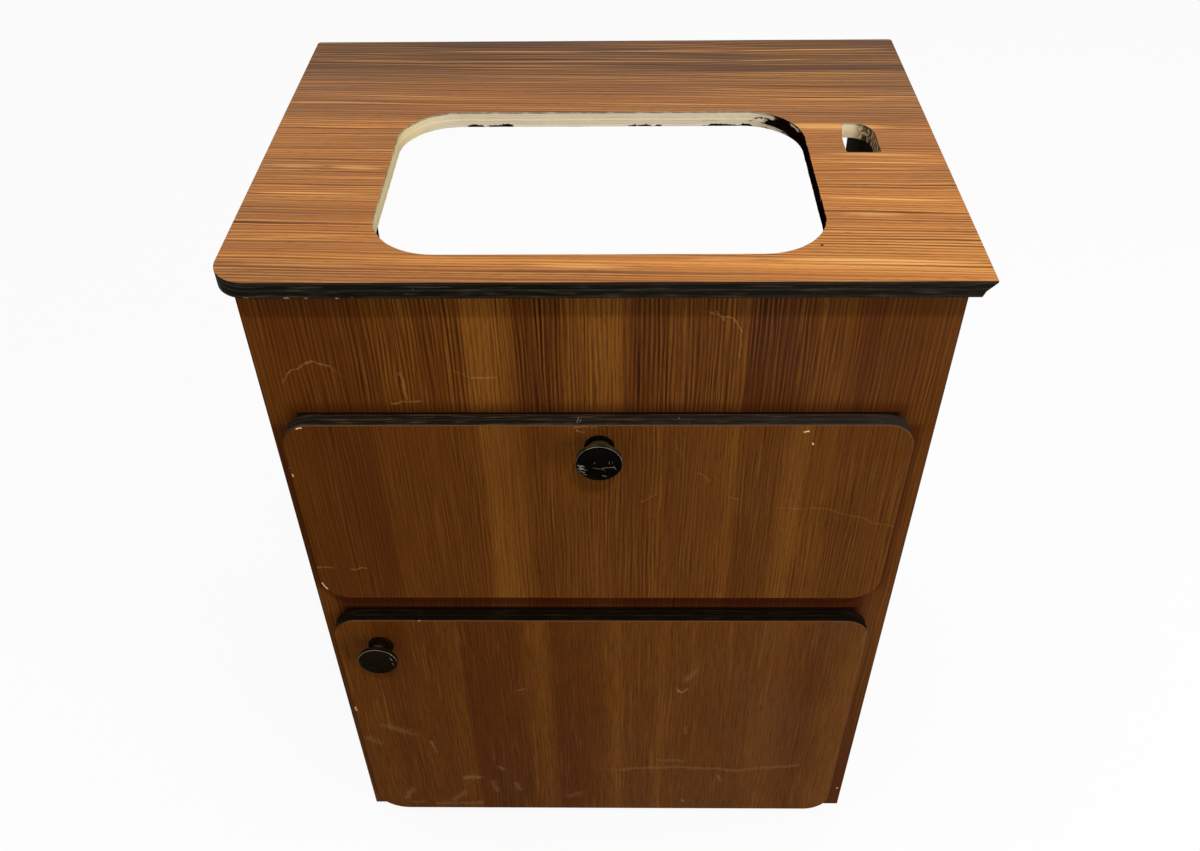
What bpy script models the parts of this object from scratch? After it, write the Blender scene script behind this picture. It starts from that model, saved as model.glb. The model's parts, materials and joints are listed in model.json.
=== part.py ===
"""Vanity unit for a small washroom: a plywood carcass with an empty basin cut-out in its worktop,
a flap that drops down at the front and a door below it. The back is open.

Metres, +Z up. The front faces -Y, the unit stands on z = 0 and the worktop is centred on x = 0.
"""
import math
from collections import namedtuple

import bmesh
import bpy
from mathutils import Matrix, Vector

# Overall sizes
CARCASS_WIDTH = 0.576
CARCASS_DEPTH = 0.420
UNIT_HEIGHT = 0.800
BOARD = 0.015
SIDE_BOARD = 0.018
CONTACT_GAP = 0.0003

# Worktop
WORKTOP_THICKNESS = 0.015
FRONT_OVERHANG = 0.020
SIDE_OVERHANG = 0.012
WORKTOP_FRONT_LEFT_RADIUS = 0.030
WORKTOP_BACK_RADIUS = 0.003
UNDERCUT_LIP = 0.0015
UNDERCUT_SLOPE_HEIGHT = 0.008
UNDERCUT_SLOPE_WIDTH = 0.0075
UNDERCUT_FOOT_WIDTH = 0.002

# Basin cut-out, measured from the worktop's front edge and middle
BASIN_WIDTH = 0.369
BASIN_DEPTH = 0.240
BASIN_FRONT_MARGIN = 0.038
BASIN_OFFSET_X = -0.0015
BASIN_NEAR_RADIUS = 0.056
BASIN_FAR_RADIUS = 0.052

# Tap hole, measured from the worktop's right and front edges
TAP_WIDTH = 0.0305
TAP_LENGTH = 0.055
TAP_RIGHT_MARGIN = 0.053
TAP_FRONT_MARGIN = 0.199
TAP_NEAR_RADIUS = 0.002
TAP_FAR_LEFT_RADIUS = 0.003
TAP_FAR_RIGHT_RADIUS = 0.020
TAP_LEAN = 0.0045
TAP_LEAN_LENGTH = 0.027
TAP_KNEE_RADIUS = 0.010

# Flap and door, laid over the front panel
PANEL_THICKNESS = 0.015
PANEL_LAP = 0.022
OPENING_RADIUS = 0.015
FLAP_DROP = 0.148
FLAP_HEIGHT = 0.229
FLAP_LEFT_MARGIN = 0.0125
FLAP_RIGHT_MARGIN = 0.0205
FLAP_TOP_RADIUS = 0.026
FLAP_BOTTOM_RADIUS = 0.028
FLAP_OPEN_ANGLE = math.radians(85.0)
PANEL_SPACING = 0.0365
DOOR_FLOOR_MARGIN = 0.018
DOOR_LEFT_MARGIN = 0.0115
DOOR_RIGHT_MARGIN = 0.0195
DOOR_TOP_RADIUS = 0.026
DOOR_BOTTOM_LEFT_RADIUS = 0.036
DOOR_BOTTOM_RIGHT_RADIUS = 0.028

# Knobs
KNOB_HEAD_RADIUS = 0.020
KNOB_BASE_RADIUS = 0.0130
KNOB_NECK_RADIUS = 0.0120
KNOB_PROJECTION = 0.0225
KNOB_BASE_HEIGHT = 0.0025
KNOB_NECK_HEIGHT = 0.0135
KNOB_RIM_HEIGHT = 0.0055
KNOB_RIM_BEVEL = 0.0010
KNOB_DISH_RADIUS = 0.0160
KNOB_DISH_DEPTH = 0.0005
KNOB_BOLT_REACH = 0.013
FLAP_KNOB_OFFSET_X = 0.002
FLAP_KNOB_DROP = 0.024
DOOR_KNOB_LEFT_MARGIN = 0.0465
DOOR_KNOB_DROP = 0.039

# Butt hinges folded between the panels and the front
LEAF_THICKNESS = 0.0007
LEAF_WIDTH = 0.020
HINGE_LENGTH = 0.060
KNUCKLE_COUNT = 5
KNUCKLE_RADIUS = 0.0022
KNUCKLE_BORE_RADIUS = 0.0013
KNUCKLE_END_GAP = 0.0004
HINGE_PIN_RADIUS = 0.0010
HINGE_PIN_HEAD_RADIUS = 0.0018
HINGE_PIN_HEAD_HEIGHT = 0.0010
EDGE_CLEARANCE = 0.0005
LEAF_SCREW_COUNT = 3
LEAF_SCREW_PITCH = 0.020
LEAF_SCREW_INSET = 0.012
FLAP_HINGE_INSET = 0.095
DOOR_HINGE_INSET = 0.075

# Quadrant stay that carries the open flap
STAY_RADIUS = 0.140
STAY_STRIP_WIDTH = 0.012
STAY_STRIP_THICKNESS = 0.002
STAY_INSET = 0.022
STAY_TAIL_LENGTH = 0.009
STAY_FOOT_THICKNESS = 0.0015
STAY_FOOT_WIDTH = 0.020
STAY_FOOT_HEIGHT = 0.052
STAY_FOOT_SCREW_PITCH = 0.038
STAY_SLOT_CLEARANCE = 0.001
STAY_GUIDE_THICKNESS = 0.002
STAY_GUIDE_HEIGHT = 0.034
STAY_GUIDE_FLANGE = 0.014
STAY_GUIDE_SCREW_PITCH = 0.022
STAY_GUIDE_MARGIN = 0.008
STAY_PIN_RADIUS = 0.002
STAY_PIN_LENGTH = 0.010
STAY_STOP_PLAY = math.radians(0.5)

# Battens, shelf, base and rails
BATTEN = 0.015
SHELF_LIP = 0.004
WORKTOP_SCREW_INSET = 0.075
RAIL_HEIGHT = 0.050

# Magnetic catches
CATCH_LENGTH = 0.044
CATCH_HEIGHT = 0.013
CATCH_DEPTH = 0.013
CATCH_PROUD = 0.0006
CATCH_EAR_LENGTH = 0.009
CATCH_EAR_HEIGHT = 0.003
CATCH_MAGNET_LENGTH = 0.020
CATCH_MAGNET_HEIGHT = 0.006
CATCH_MAGNET_DEPTH = 0.009
STRIKE_LENGTH = 0.034
STRIKE_HEIGHT = 0.011
STRIKE_THICKNESS = 0.0009
STRIKE_SCREW_PITCH = 0.024
FLAP_CATCH_OFFSET_X = 0.130
DOOR_CATCH_DROP = 0.120

# Fasteners
Screw = namedtuple("Screw", "head_radius head_depth shank_radius length")
SCREW_CLEARANCE = 0.0003
SCREW_TIP = 0.0015
SCREW_BITE = 0.009
WORKTOP_SCREW = Screw(0.0040, 0.0028, 0.0018, BATTEN + CONTACT_GAP + SCREW_BITE)
LEAF_SCREW = Screw(0.0026, LEAF_THICKNESS, 0.0012, LEAF_THICKNESS + CONTACT_GAP + SCREW_BITE)
STRIKE_SCREW = Screw(0.0024, STRIKE_THICKNESS, 0.0012, STRIKE_THICKNESS + CONTACT_GAP + SCREW_BITE)
STAY_SCREW = Screw(0.0028, STAY_FOOT_THICKNESS, 0.0012, STAY_FOOT_THICKNESS + CONTACT_GAP + SCREW_BITE)
GUIDE_SCREW = Screw(0.0028, STAY_GUIDE_THICKNESS, 0.0012, STAY_GUIDE_THICKNESS + CONTACT_GAP + SCREW_BITE)
CATCH_SCREW = Screw(0.0026, CATCH_EAR_HEIGHT, 0.0012, CATCH_EAR_HEIGHT + CONTACT_GAP + SCREW_BITE)
KNOB_BOLT = Screw(0.0042, 0.0026, 0.0020, PANEL_THICKNESS + CONTACT_GAP + KNOB_BOLT_REACH)

# Facets
CORNER_STEPS = 7
OPENING_STEPS = 4
KNOB_STEPS = 32
BORE_STEPS = 12
SCREW_STEPS = 8
ARC_STEPS = 26
CUT_PAST = 0.002
MERGE_DISTANCE = 1e-6
SMOOTH_ANGLE = math.radians(40.0)

# Places that follow from the sizes above
X = Vector((1.0, 0.0, 0.0))
Y = Vector((0.0, 1.0, 0.0))
Z = Vector((0.0, 0.0, 1.0))
FACE_GAP = 2 * LEAF_THICKNESS + 3 * CONTACT_GAP
WORKTOP_WIDTH = CARCASS_WIDTH + 2 * SIDE_OVERHANG
WORKTOP_DEPTH = CARCASS_DEPTH + FRONT_OVERHANG
KNOB_REACH = FACE_GAP + PANEL_THICKNESS + KNOB_PROJECTION - FRONT_OVERHANG
WORKTOP_FRONT = (KNOB_REACH - WORKTOP_DEPTH) / 2
BACK = WORKTOP_FRONT + WORKTOP_DEPTH
FACE = WORKTOP_FRONT + FRONT_OVERHANG
FRONT_BACK = FACE + BOARD
PANEL_BACK = FACE - FACE_GAP
PANEL_FRONT = PANEL_BACK - PANEL_THICKNESS
INSIDE_FRONT = FRONT_BACK + CONTACT_GAP
CARCASS_TOP = UNIT_HEIGHT - WORKTOP_THICKNESS
HALF_WIDTH = CARCASS_WIDTH / 2
INSIDE_HALF = HALF_WIDTH - SIDE_BOARD - CONTACT_GAP
FLAP_LEFT = FLAP_LEFT_MARGIN - HALF_WIDTH
FLAP_RIGHT = HALF_WIDTH - FLAP_RIGHT_MARGIN
FLAP_TOP = UNIT_HEIGHT - FLAP_DROP
FLAP_BOTTOM = FLAP_TOP - FLAP_HEIGHT
DOOR_LEFT = DOOR_LEFT_MARGIN - HALF_WIDTH
DOOR_RIGHT = HALF_WIDTH - DOOR_RIGHT_MARGIN
DOOR_TOP = FLAP_BOTTOM - PANEL_SPACING
DOOR_BOTTOM = DOOR_FLOOR_MARGIN
BASE_TOP = DOOR_BOTTOM + PANEL_LAP
SHELF_TOP = DOOR_TOP - PANEL_LAP + SHELF_LIP + BOARD
AXIS_TO_FACE = KNUCKLE_RADIUS + CONTACT_GAP
AXIS_TO_EDGE = KNUCKLE_RADIUS + EDGE_CLEARANCE
AXIS_Y = FACE - AXIS_TO_FACE
FLAP_AXIS = Vector(((FLAP_LEFT + FLAP_RIGHT) / 2, AXIS_Y, FLAP_BOTTOM - AXIS_TO_EDGE))
DOOR_AXIS = Vector((DOOR_RIGHT + AXIS_TO_EDGE, AXIS_Y, (DOOR_TOP + DOOR_BOTTOM) / 2))


def clear_scene():
    """Start from an empty scene."""
    for thing in list(bpy.data.objects):
        bpy.data.objects.remove(thing)


def finish(name, colour, roughness, metallic=0.0):
    """A Principled material of one finish."""
    material = bpy.data.materials.new(name)
    material.use_nodes = True
    shader = material.node_tree.nodes["Principled BSDF"]
    shader.inputs["Base Color"].default_value = (*colour, 1.0)
    shader.inputs["Roughness"].default_value = roughness
    shader.inputs["Metallic"].default_value = metallic
    material.diffuse_color = (*colour, 1.0)
    return material


def add_part(name, bm, material, smooth_angle=None):
    """Turn a bmesh into a named object, with its faces pointing out."""
    bmesh.ops.recalc_face_normals(bm, faces=bm.faces)
    mesh = bpy.data.meshes.new(name)
    bm.to_mesh(mesh)
    bm.free()
    if smooth_angle is not None:
        mesh.shade_smooth()
        mesh.set_sharp_from_angle(angle=smooth_angle)
    mesh.materials.append(material)
    part = bpy.data.objects.new(name, mesh)
    bpy.context.scene.collection.objects.link(part)
    return part


def combine(part, tool_bm, operation):
    """Apply an exact Boolean with a tool mesh and remove the tool again."""
    tool = add_part(part.name + "_tool", tool_bm, part.data.materials[0])
    modifier = part.modifiers.new(operation.lower(), "BOOLEAN")
    modifier.object = tool
    modifier.operation = operation
    modifier.solver = "EXACT"
    evaluated = part.evaluated_get(bpy.context.evaluated_depsgraph_get())
    result = bpy.data.meshes.new_from_object(evaluated)
    part.modifiers.clear()
    old_mesh = part.data
    part.data = result
    bpy.data.meshes.remove(old_mesh)
    result.name = part.name
    bpy.data.objects.remove(tool)


def cut(part, tool_bm):
    """Cut a tool mesh out of a part."""
    combine(part, tool_bm, "DIFFERENCE")


def fuse(part, tool_bm):
    """Join a tool mesh to a part."""
    combine(part, tool_bm, "UNION")


def box(low, high):
    """A box between two corners."""
    low, high = Vector(low), Vector(high)
    bm = bmesh.new()
    bmesh.ops.create_cube(bm, size=1.0)
    bmesh.ops.scale(bm, vec=high - low, verts=bm.verts)
    bmesh.ops.translate(bm, vec=(low + high) / 2, verts=bm.verts)
    return bm


def plate(corners, thickness, radii=None, steps=CORNER_STEPS):
    """A flat plate: an outline with rounded corners, extruded by the thickness vector."""
    bm = bmesh.new()
    verts = [bm.verts.new(corner) for corner in corners]
    bm.faces.new(verts)
    for vert, radius in zip(verts, radii or ()):
        if radius > 0:
            bmesh.ops.bevel(bm, geom=[vert], offset=radius, segments=steps, profile=0.5, affect="VERTICES")
    sheet = bmesh.ops.extrude_face_region(bm, geom=list(bm.faces))
    moved = [item for item in sheet["geom"] if isinstance(item, bmesh.types.BMVert)]
    bmesh.ops.translate(bm, vec=thickness, verts=moved)
    return bm


def upright_plate(left, right, bottom, top, front, back, radii=None, steps=CORNER_STEPS):
    """A plate that stands across the unit; radii go bottom left, bottom right, top right, top left."""
    corners = [(left, front, bottom), (right, front, bottom), (right, front, top), (left, front, top)]
    return plate(corners, Y * (back - front), radii, steps)


def level_plate(left, right, front, back, bottom, top, radii=None, steps=CORNER_STEPS):
    """A plate that lies flat; radii go front left, front right, back right, back left."""
    corners = [(left, front, bottom), (right, front, bottom), (right, back, bottom), (left, back, bottom)]
    return plate(corners, Z * (top - bottom), radii, steps)


def turned(profile, steps):
    """A solid of revolution about Z from (radius, height) points that start and end on the axis."""
    bm = bmesh.new()
    verts = [bm.verts.new((radius, 0.0, height)) for radius, height in profile]
    edges = [bm.edges.new(pair) for pair in zip(verts, verts[1:])]
    bmesh.ops.spin(bm, geom=verts + edges, cent=(0, 0, 0), axis=Z, angle=2 * math.pi, steps=steps,
                   use_merge=True)
    bmesh.ops.remove_doubles(bm, verts=bm.verts, dist=MERGE_DISTANCE)
    return bm


def rod(radius, low, high, steps):
    """A plain rod along Z."""
    return turned([(0.0, low), (radius, low), (radius, high), (0.0, high)], steps)


def tube(inner_radius, outer_radius, low, high, steps):
    """A tube along Z."""
    bm = bmesh.new()
    ring = [(inner_radius, low), (outer_radius, low), (outer_radius, high), (inner_radius, high)]
    verts = [bm.verts.new((radius, 0.0, height)) for radius, height in ring]
    edges = [bm.edges.new(pair) for pair in zip(verts, verts[1:] + verts[:1])]
    bmesh.ops.spin(bm, geom=verts + edges, cent=(0, 0, 0), axis=Z, angle=2 * math.pi, steps=steps,
                   use_merge=True)
    bmesh.ops.remove_doubles(bm, verts=bm.verts, dist=MERGE_DISTANCE)
    return bm


def aim(bm, point, direction):
    """Turn a shape made along Z to a direction and move it to a point."""
    turn = Z.rotation_difference(Vector(direction)).to_matrix().to_4x4()
    bmesh.ops.transform(bm, matrix=Matrix.Translation(point) @ turn, verts=bm.verts)
    return bm


def merged(shapes):
    """Several separate shapes in one bmesh."""
    whole = bmesh.new()
    for shape in shapes:
        mesh = bpy.data.meshes.new("shape")
        shape.to_mesh(mesh)
        shape.free()
        whole.from_mesh(mesh)
        bpy.data.meshes.remove(mesh)
    return whole


def screw_shape(kind, spot, direction):
    """A countersunk screw whose head is flush at the spot and whose tip points along the direction."""
    profile = [(0.0, 0.0), (kind.head_radius, 0.0), (kind.shank_radius, kind.head_depth),
               (kind.shank_radius, kind.length - SCREW_TIP), (0.0, kind.length)]
    return aim(turned(profile, SCREW_STEPS), spot, direction)


def screw_hole(kind, spot, direction):
    """The room for that screw, open at its head."""
    head = kind.head_radius + SCREW_CLEARANCE
    shank = kind.shank_radius + SCREW_CLEARANCE
    profile = [(0.0, -CUT_PAST), (head, -CUT_PAST), (head, SCREW_CLEARANCE), (shank, kind.head_depth),
               (shank, kind.length + SCREW_CLEARANCE), (0.0, kind.length + SCREW_CLEARANCE)]
    return aim(turned(profile, SCREW_STEPS), spot, direction)


def add_screws(stem, kind, spots, material):
    """One object for each screw; spots maps a label to the head's place and the way the screw points."""
    screws = []
    for label, (spot, direction) in spots.items():
        shape = screw_shape(kind, spot, direction)
        screws.append(add_part(f"{stem}_{label}", shape, material, SMOOTH_ANGLE))
    return screws


def drill(part, kind, spots):
    """Bore a part for its screws."""
    cut(part, merged([screw_hole(kind, spot, direction) for spot, direction in spots.values()]))


def make_worktop(material):
    """The worktop with its basin cut-out, tap hole and undercut right edge."""
    half = WORKTOP_WIDTH / 2
    radii = [WORKTOP_FRONT_LEFT_RADIUS, 0, WORKTOP_BACK_RADIUS, WORKTOP_BACK_RADIUS]
    sheet = level_plate(-half, half, WORKTOP_FRONT, BACK, CARCASS_TOP + CONTACT_GAP, UNIT_HEIGHT, radii)
    worktop = add_part("worktop", sheet, material)
    below, above = CARCASS_TOP - CUT_PAST, UNIT_HEIGHT + CUT_PAST
    near = WORKTOP_FRONT + BASIN_FRONT_MARGIN
    left = BASIN_OFFSET_X - BASIN_WIDTH / 2
    basin = level_plate(left, left + BASIN_WIDTH, near, near + BASIN_DEPTH, below, above,
                        [BASIN_NEAR_RADIUS, BASIN_NEAR_RADIUS, BASIN_FAR_RADIUS, BASIN_FAR_RADIUS])
    tap_right = half - TAP_RIGHT_MARGIN
    tap_left = tap_right - TAP_WIDTH
    tap_near = WORKTOP_FRONT + TAP_FRONT_MARGIN
    tap_far = tap_near + TAP_LENGTH
    tap = plate([(tap_left, tap_near, below), (tap_right, tap_near, below), (tap_right, tap_far, below),
                 (tap_left + TAP_LEAN, tap_far, below), (tap_left, tap_far - TAP_LEAN_LENGTH, below)],
                Z * (above - below),
                [TAP_NEAR_RADIUS, TAP_NEAR_RADIUS, TAP_FAR_RIGHT_RADIUS, TAP_FAR_LEFT_RADIUS, TAP_KNEE_RADIUS],
                OPENING_STEPS)
    lip = UNIT_HEIGHT - UNDERCUT_LIP
    knee = lip - UNDERCUT_SLOPE_HEIGHT
    start = WORKTOP_FRONT - CUT_PAST
    foot = half - UNDERCUT_SLOPE_WIDTH - UNDERCUT_FOOT_WIDTH
    undercut = plate([(half + CUT_PAST, start, below), (half + CUT_PAST, start, lip), (half, start, lip),
                      (half - UNDERCUT_SLOPE_WIDTH, start, knee), (foot, start, below)],
                     Y * (WORKTOP_DEPTH + 2 * CUT_PAST))
    cut(worktop, merged([basin, tap]))
    cut(worktop, undercut)
    return worktop


def make_front_panel(material):
    """The front of the carcass with an opening behind the flap and one behind the door."""
    sheet = upright_plate(-HALF_WIDTH, HALF_WIDTH, 0, CARCASS_TOP, FACE, FRONT_BACK)
    panel = add_part("front_panel", sheet, material)
    openings = []
    for left, right, low, high in ((FLAP_LEFT, FLAP_RIGHT, FLAP_BOTTOM, FLAP_TOP),
                                   (DOOR_LEFT, DOOR_RIGHT, DOOR_BOTTOM, DOOR_TOP)):
        openings.append(upright_plate(left + PANEL_LAP, right - PANEL_LAP, low + PANEL_LAP, high - PANEL_LAP,
                                      FACE - CUT_PAST, FRONT_BACK + CUT_PAST, [OPENING_RADIUS] * 4,
                                      OPENING_STEPS))
    cut(panel, merged(openings))
    return panel


def make_boards(material):
    """Sides, base, shelf and the two rear rails."""
    for name, outer in (("left_side", -HALF_WIDTH), ("right_side", HALF_WIDTH)):
        inner = outer - math.copysign(SIDE_BOARD, outer)
        low, high = sorted((inner, outer))
        add_part(name, box((low, INSIDE_FRONT, 0), (high, BACK, CARCASS_TOP)), material)
    rail_front = BACK - BOARD
    base_bottom = BASE_TOP - BOARD
    spans = {
        "rear_top_rail": (rail_front, CARCASS_TOP - RAIL_HEIGHT, CARCASS_TOP),
        "base_board": (INSIDE_FRONT, base_bottom, BASE_TOP),
        "rear_bottom_rail": (rail_front, 0, base_bottom - CONTACT_GAP),
    }
    for name, (front, low, high) in spans.items():
        add_part(name, box((-INSIDE_HALF, front, low), (INSIDE_HALF, BACK, high)), material)
    notch_x = INSIDE_HALF - BATTEN - CONTACT_GAP
    notch_y = INSIDE_FRONT + BATTEN + CONTACT_GAP
    outline = [(-notch_x, INSIDE_FRONT), (notch_x, INSIDE_FRONT), (notch_x, notch_y), (INSIDE_HALF, notch_y),
               (INSIDE_HALF, BACK), (-INSIDE_HALF, BACK), (-INSIDE_HALF, notch_y), (-notch_x, notch_y)]
    shelf = plate([(x, y, SHELF_TOP - BOARD) for x, y in outline], Z * BOARD)
    add_part("middle_shelf", shelf, material)


def make_battens(material):
    """Softwood battens in the inside corners."""
    battens = {}
    behind_post = INSIDE_FRONT + BATTEN + CONTACT_GAP
    before_rail = BACK - BOARD - CONTACT_GAP
    under_base = BASE_TOP - BOARD - CONTACT_GAP
    under_shelf = SHELF_TOP - BOARD - CONTACT_GAP
    runs = {
        "front_batten": (INSIDE_FRONT, INSIDE_FRONT + BATTEN, BASE_TOP + CONTACT_GAP, CARCASS_TOP),
        "top_batten": (behind_post, before_rail, CARCASS_TOP - BATTEN, CARCASS_TOP),
        "shelf_batten": (behind_post, BACK, under_shelf - BATTEN, under_shelf),
        "base_batten": (INSIDE_FRONT, before_rail, under_base - BATTEN, under_base),
    }
    for stem, (front, back, low, high) in runs.items():
        for side, sign in (("left", -1), ("right", 1)):
            ends = sorted((sign * INSIDE_HALF, sign * (INSIDE_HALF - BATTEN)))
            name = f"{stem}_{side}"
            battens[name] = add_part(name, box((ends[0], front, low), (ends[1], back, high)), material)
    return battens


def screw_worktop(battens, worktop, material):
    """Screw the worktop down from inside, up through the top battens."""
    spots = {}
    for side, sign in (("left", -1), ("right", 1)):
        x = sign * (INSIDE_HALF - BATTEN / 2)
        for end, y in (("front", INSIDE_FRONT + WORKTOP_SCREW_INSET), ("back", BACK - WORKTOP_SCREW_INSET)):
            spots[f"{side}_{end}"] = (Vector((x, y, CARCASS_TOP - BATTEN)), Z)
    for name in ("top_batten_left", "top_batten_right"):
        drill(battens[name], WORKTOP_SCREW, spots)
    drill(worktop, WORKTOP_SCREW, spots)
    add_screws("worktop_screw", WORKTOP_SCREW, spots, material)


def make_knob(name, x, z, material):
    """A turned mushroom knob with a dished face and a blind bore for its bolt."""
    bore = KNOB_BOLT.shank_radius + SCREW_CLEARANCE
    depth = KNOB_BOLT_REACH + SCREW_CLEARANCE + CONTACT_GAP
    top = KNOB_PROJECTION
    rim_low = top - KNOB_RIM_HEIGHT
    profile = [(0.0, depth), (bore, depth), (bore, CONTACT_GAP), (KNOB_BASE_RADIUS, CONTACT_GAP),
               (KNOB_BASE_RADIUS, KNOB_BASE_HEIGHT), (KNOB_NECK_RADIUS, KNOB_BASE_HEIGHT + KNOB_RIM_BEVEL),
               (KNOB_NECK_RADIUS, KNOB_NECK_HEIGHT), (KNOB_HEAD_RADIUS - KNOB_RIM_BEVEL, rim_low),
               (KNOB_HEAD_RADIUS, rim_low + KNOB_RIM_BEVEL), (KNOB_HEAD_RADIUS, top - KNOB_RIM_BEVEL),
               (KNOB_HEAD_RADIUS - KNOB_RIM_BEVEL, top), (KNOB_DISH_RADIUS, top),
               (KNOB_DISH_RADIUS - KNOB_DISH_DEPTH, top - KNOB_DISH_DEPTH), (0.0, top - KNOB_DISH_DEPTH)]
    shape = aim(turned(profile, KNOB_STEPS), Vector((x, PANEL_FRONT, z)), -Y)
    return add_part(name, shape, material, SMOOTH_ANGLE)


def bolt_knob(panel, stem, x, z, material):
    """Bolt a knob on through its panel, with the countersunk head flush at the back."""
    spots = {"bolt": (Vector((x, PANEL_BACK, z)), -Y)}
    drill(panel, KNOB_BOLT, spots)
    return add_screws(stem, KNOB_BOLT, spots, material)


def knuckle_spans(moving):
    """Start and end of one leaf's knuckles along the hinge; the two leaves take turns."""
    half = HINGE_LENGTH / 2
    pitch = HINGE_LENGTH / KNUCKLE_COUNT
    starts = [-half] + [step * pitch - half + KNUCKLE_END_GAP / 2 for step in range(1, KNUCKLE_COUNT)]
    ends = [step * pitch - half - KNUCKLE_END_GAP / 2 for step in range(1, KNUCKLE_COUNT)] + [half]
    return list(zip(starts, ends))[1 if moving else 0::2]


def leaf_outline(moving, root):
    """The leaf along (x) and across (y): full at its own knuckles, cut back beside the other leaf's."""
    half = HINGE_LENGTH / 2
    clear = KNUCKLE_RADIUS + KNUCKLE_END_GAP
    points = [(-half, clear)]
    for start, end in knuckle_spans(moving):
        points += [(start, clear), (start, root), (end, root), (end, clear)]
    points += [(half, clear), (half, LEAF_WIDTH), (-half, LEAF_WIDTH)]
    return [point for point, following in zip(points, points[1:] + points[:1]) if point != following]


def make_leaf(name, moving, place, material):
    """A hinge leaf with its knuckles and screw holes: X along the pin, Y into the panel, Z to the front."""
    back = CONTACT_GAP - AXIS_TO_FACE
    root = 0.0
    seat, direction = back + LEAF_THICKNESS, -Z
    if moving:
        back += LEAF_THICKNESS + CONTACT_GAP
        root = KNUCKLE_BORE_RADIUS + CONTACT_GAP
        seat, direction = back, Z
    corners = [(x, y, back) for x, y in leaf_outline(moving, root)]
    leaf = add_part(name, plate(corners, Z * LEAF_THICKNESS), material)
    knuckles = [aim(tube(KNUCKLE_BORE_RADIUS, KNUCKLE_RADIUS, start, end, BORE_STEPS), Vector(), X)
                for start, end in knuckle_spans(moving)]
    fuse(leaf, merged(knuckles))
    first = -LEAF_SCREW_PITCH * (LEAF_SCREW_COUNT - 1) / 2
    holes = {step: (Vector((first + step * LEAF_SCREW_PITCH, LEAF_SCREW_INSET, seat)), direction)
             for step in range(LEAF_SCREW_COUNT)}
    drill(leaf, LEAF_SCREW, holes)
    leaf.data.shade_smooth()
    leaf.data.set_sharp_from_angle(angle=SMOOTH_ANGLE)
    leaf.data.transform(place)
    return leaf


def make_hinges(stem, places, material):
    """The hinges of one panel. Returns the leaves that move with the panel."""
    moving_leaves = []
    head = HINGE_LENGTH / 2 + CONTACT_GAP
    tip = head + HINGE_PIN_HEAD_HEIGHT
    pin_profile = [(0.0, -tip), (HINGE_PIN_HEAD_RADIUS, -tip), (HINGE_PIN_HEAD_RADIUS, -head),
                   (HINGE_PIN_RADIUS, -head), (HINGE_PIN_RADIUS, head), (HINGE_PIN_HEAD_RADIUS, head),
                   (HINGE_PIN_HEAD_RADIUS, tip), (0.0, tip)]
    for label, place in places.items():
        make_leaf(f"{stem}_{label}_fixed_leaf", False, place, material)
        moving_leaves.append(make_leaf(f"{stem}_{label}_moving_leaf", True, place, material))
        pin = aim(turned(pin_profile, BORE_STEPS), Vector(), X)
        bmesh.ops.transform(pin, matrix=place, verts=pin.verts)
        add_part(f"{stem}_{label}_pin", pin, material, SMOOTH_ANGLE)
    return moving_leaves


def make_catch(stem, seat, inward, along, ends, panel, front_panel, case_material, steel):
    """A magnetic catch on an opening's edge, with its magnet and screws, and the strike plate it holds.

    The seat is the middle of its footprint on that edge, in the front panel's face. Its two ends are
    named in the order of the direction along. Returns the pieces that move with the panel."""
    def place(length, depth, height):
        return seat + along * length + Y * depth + inward * height

    def block(half, front, back, low, high):
        first, second = place(-half, front, low), place(half, back, high)
        return box([min(pair) for pair in zip(first, second)], [max(pair) for pair in zip(first, second)])

    half = CATCH_LENGTH / 2
    low, high = CONTACT_GAP, CATCH_HEIGHT
    ear_top = low + CATCH_EAR_HEIGHT
    case = add_part(f"{stem}_catch", block(half, 0, CATCH_DEPTH, low, ear_top), case_material)
    fuse(case, block(half - CATCH_EAR_LENGTH, -CATCH_PROUD / 2, CATCH_DEPTH, low, high))
    magnet_low = (low + high - CATCH_MAGNET_HEIGHT) / 2
    magnet_high = magnet_low + CATCH_MAGNET_HEIGHT
    magnet_half = CATCH_MAGNET_LENGTH / 2
    cut(case, block(magnet_half + CONTACT_GAP, -CUT_PAST, CATCH_MAGNET_DEPTH + CONTACT_GAP,
                    magnet_low - CONTACT_GAP, magnet_high + CONTACT_GAP))
    magnet = block(magnet_half, -CATCH_PROUD, CATCH_MAGNET_DEPTH, magnet_low, magnet_high)
    add_part(f"{stem}_catch_magnet", magnet, steel)
    ear = half - CATCH_EAR_LENGTH / 2
    spots = {end: (place(length, CATCH_DEPTH / 2, ear_top), -inward)
             for end, length in zip(ends, (-ear, ear))}
    drill(case, CATCH_SCREW, spots)
    drill(front_panel, CATCH_SCREW, spots)
    add_screws(f"{stem}_catch_screw", CATCH_SCREW, spots, steel)

    middle = (magnet_low + magnet_high) / 2
    strike_front = CONTACT_GAP - FACE_GAP
    strike_back = strike_front + STRIKE_THICKNESS
    strike = block(STRIKE_LENGTH / 2, strike_front, strike_back, middle - STRIKE_HEIGHT / 2,
                   middle + STRIKE_HEIGHT / 2)
    strike = add_part(f"{stem}_strike_plate", strike, steel)
    pitch = STRIKE_SCREW_PITCH / 2
    spots = {end: (place(length, strike_back, middle), -Y) for end, length in zip(ends, (-pitch, pitch))}
    drill(strike, STRIKE_SCREW, spots)
    drill(panel, STRIKE_SCREW, spots)
    return [strike] + add_screws(f"{stem}_strike_screw", STRIKE_SCREW, spots, steel)


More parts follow.
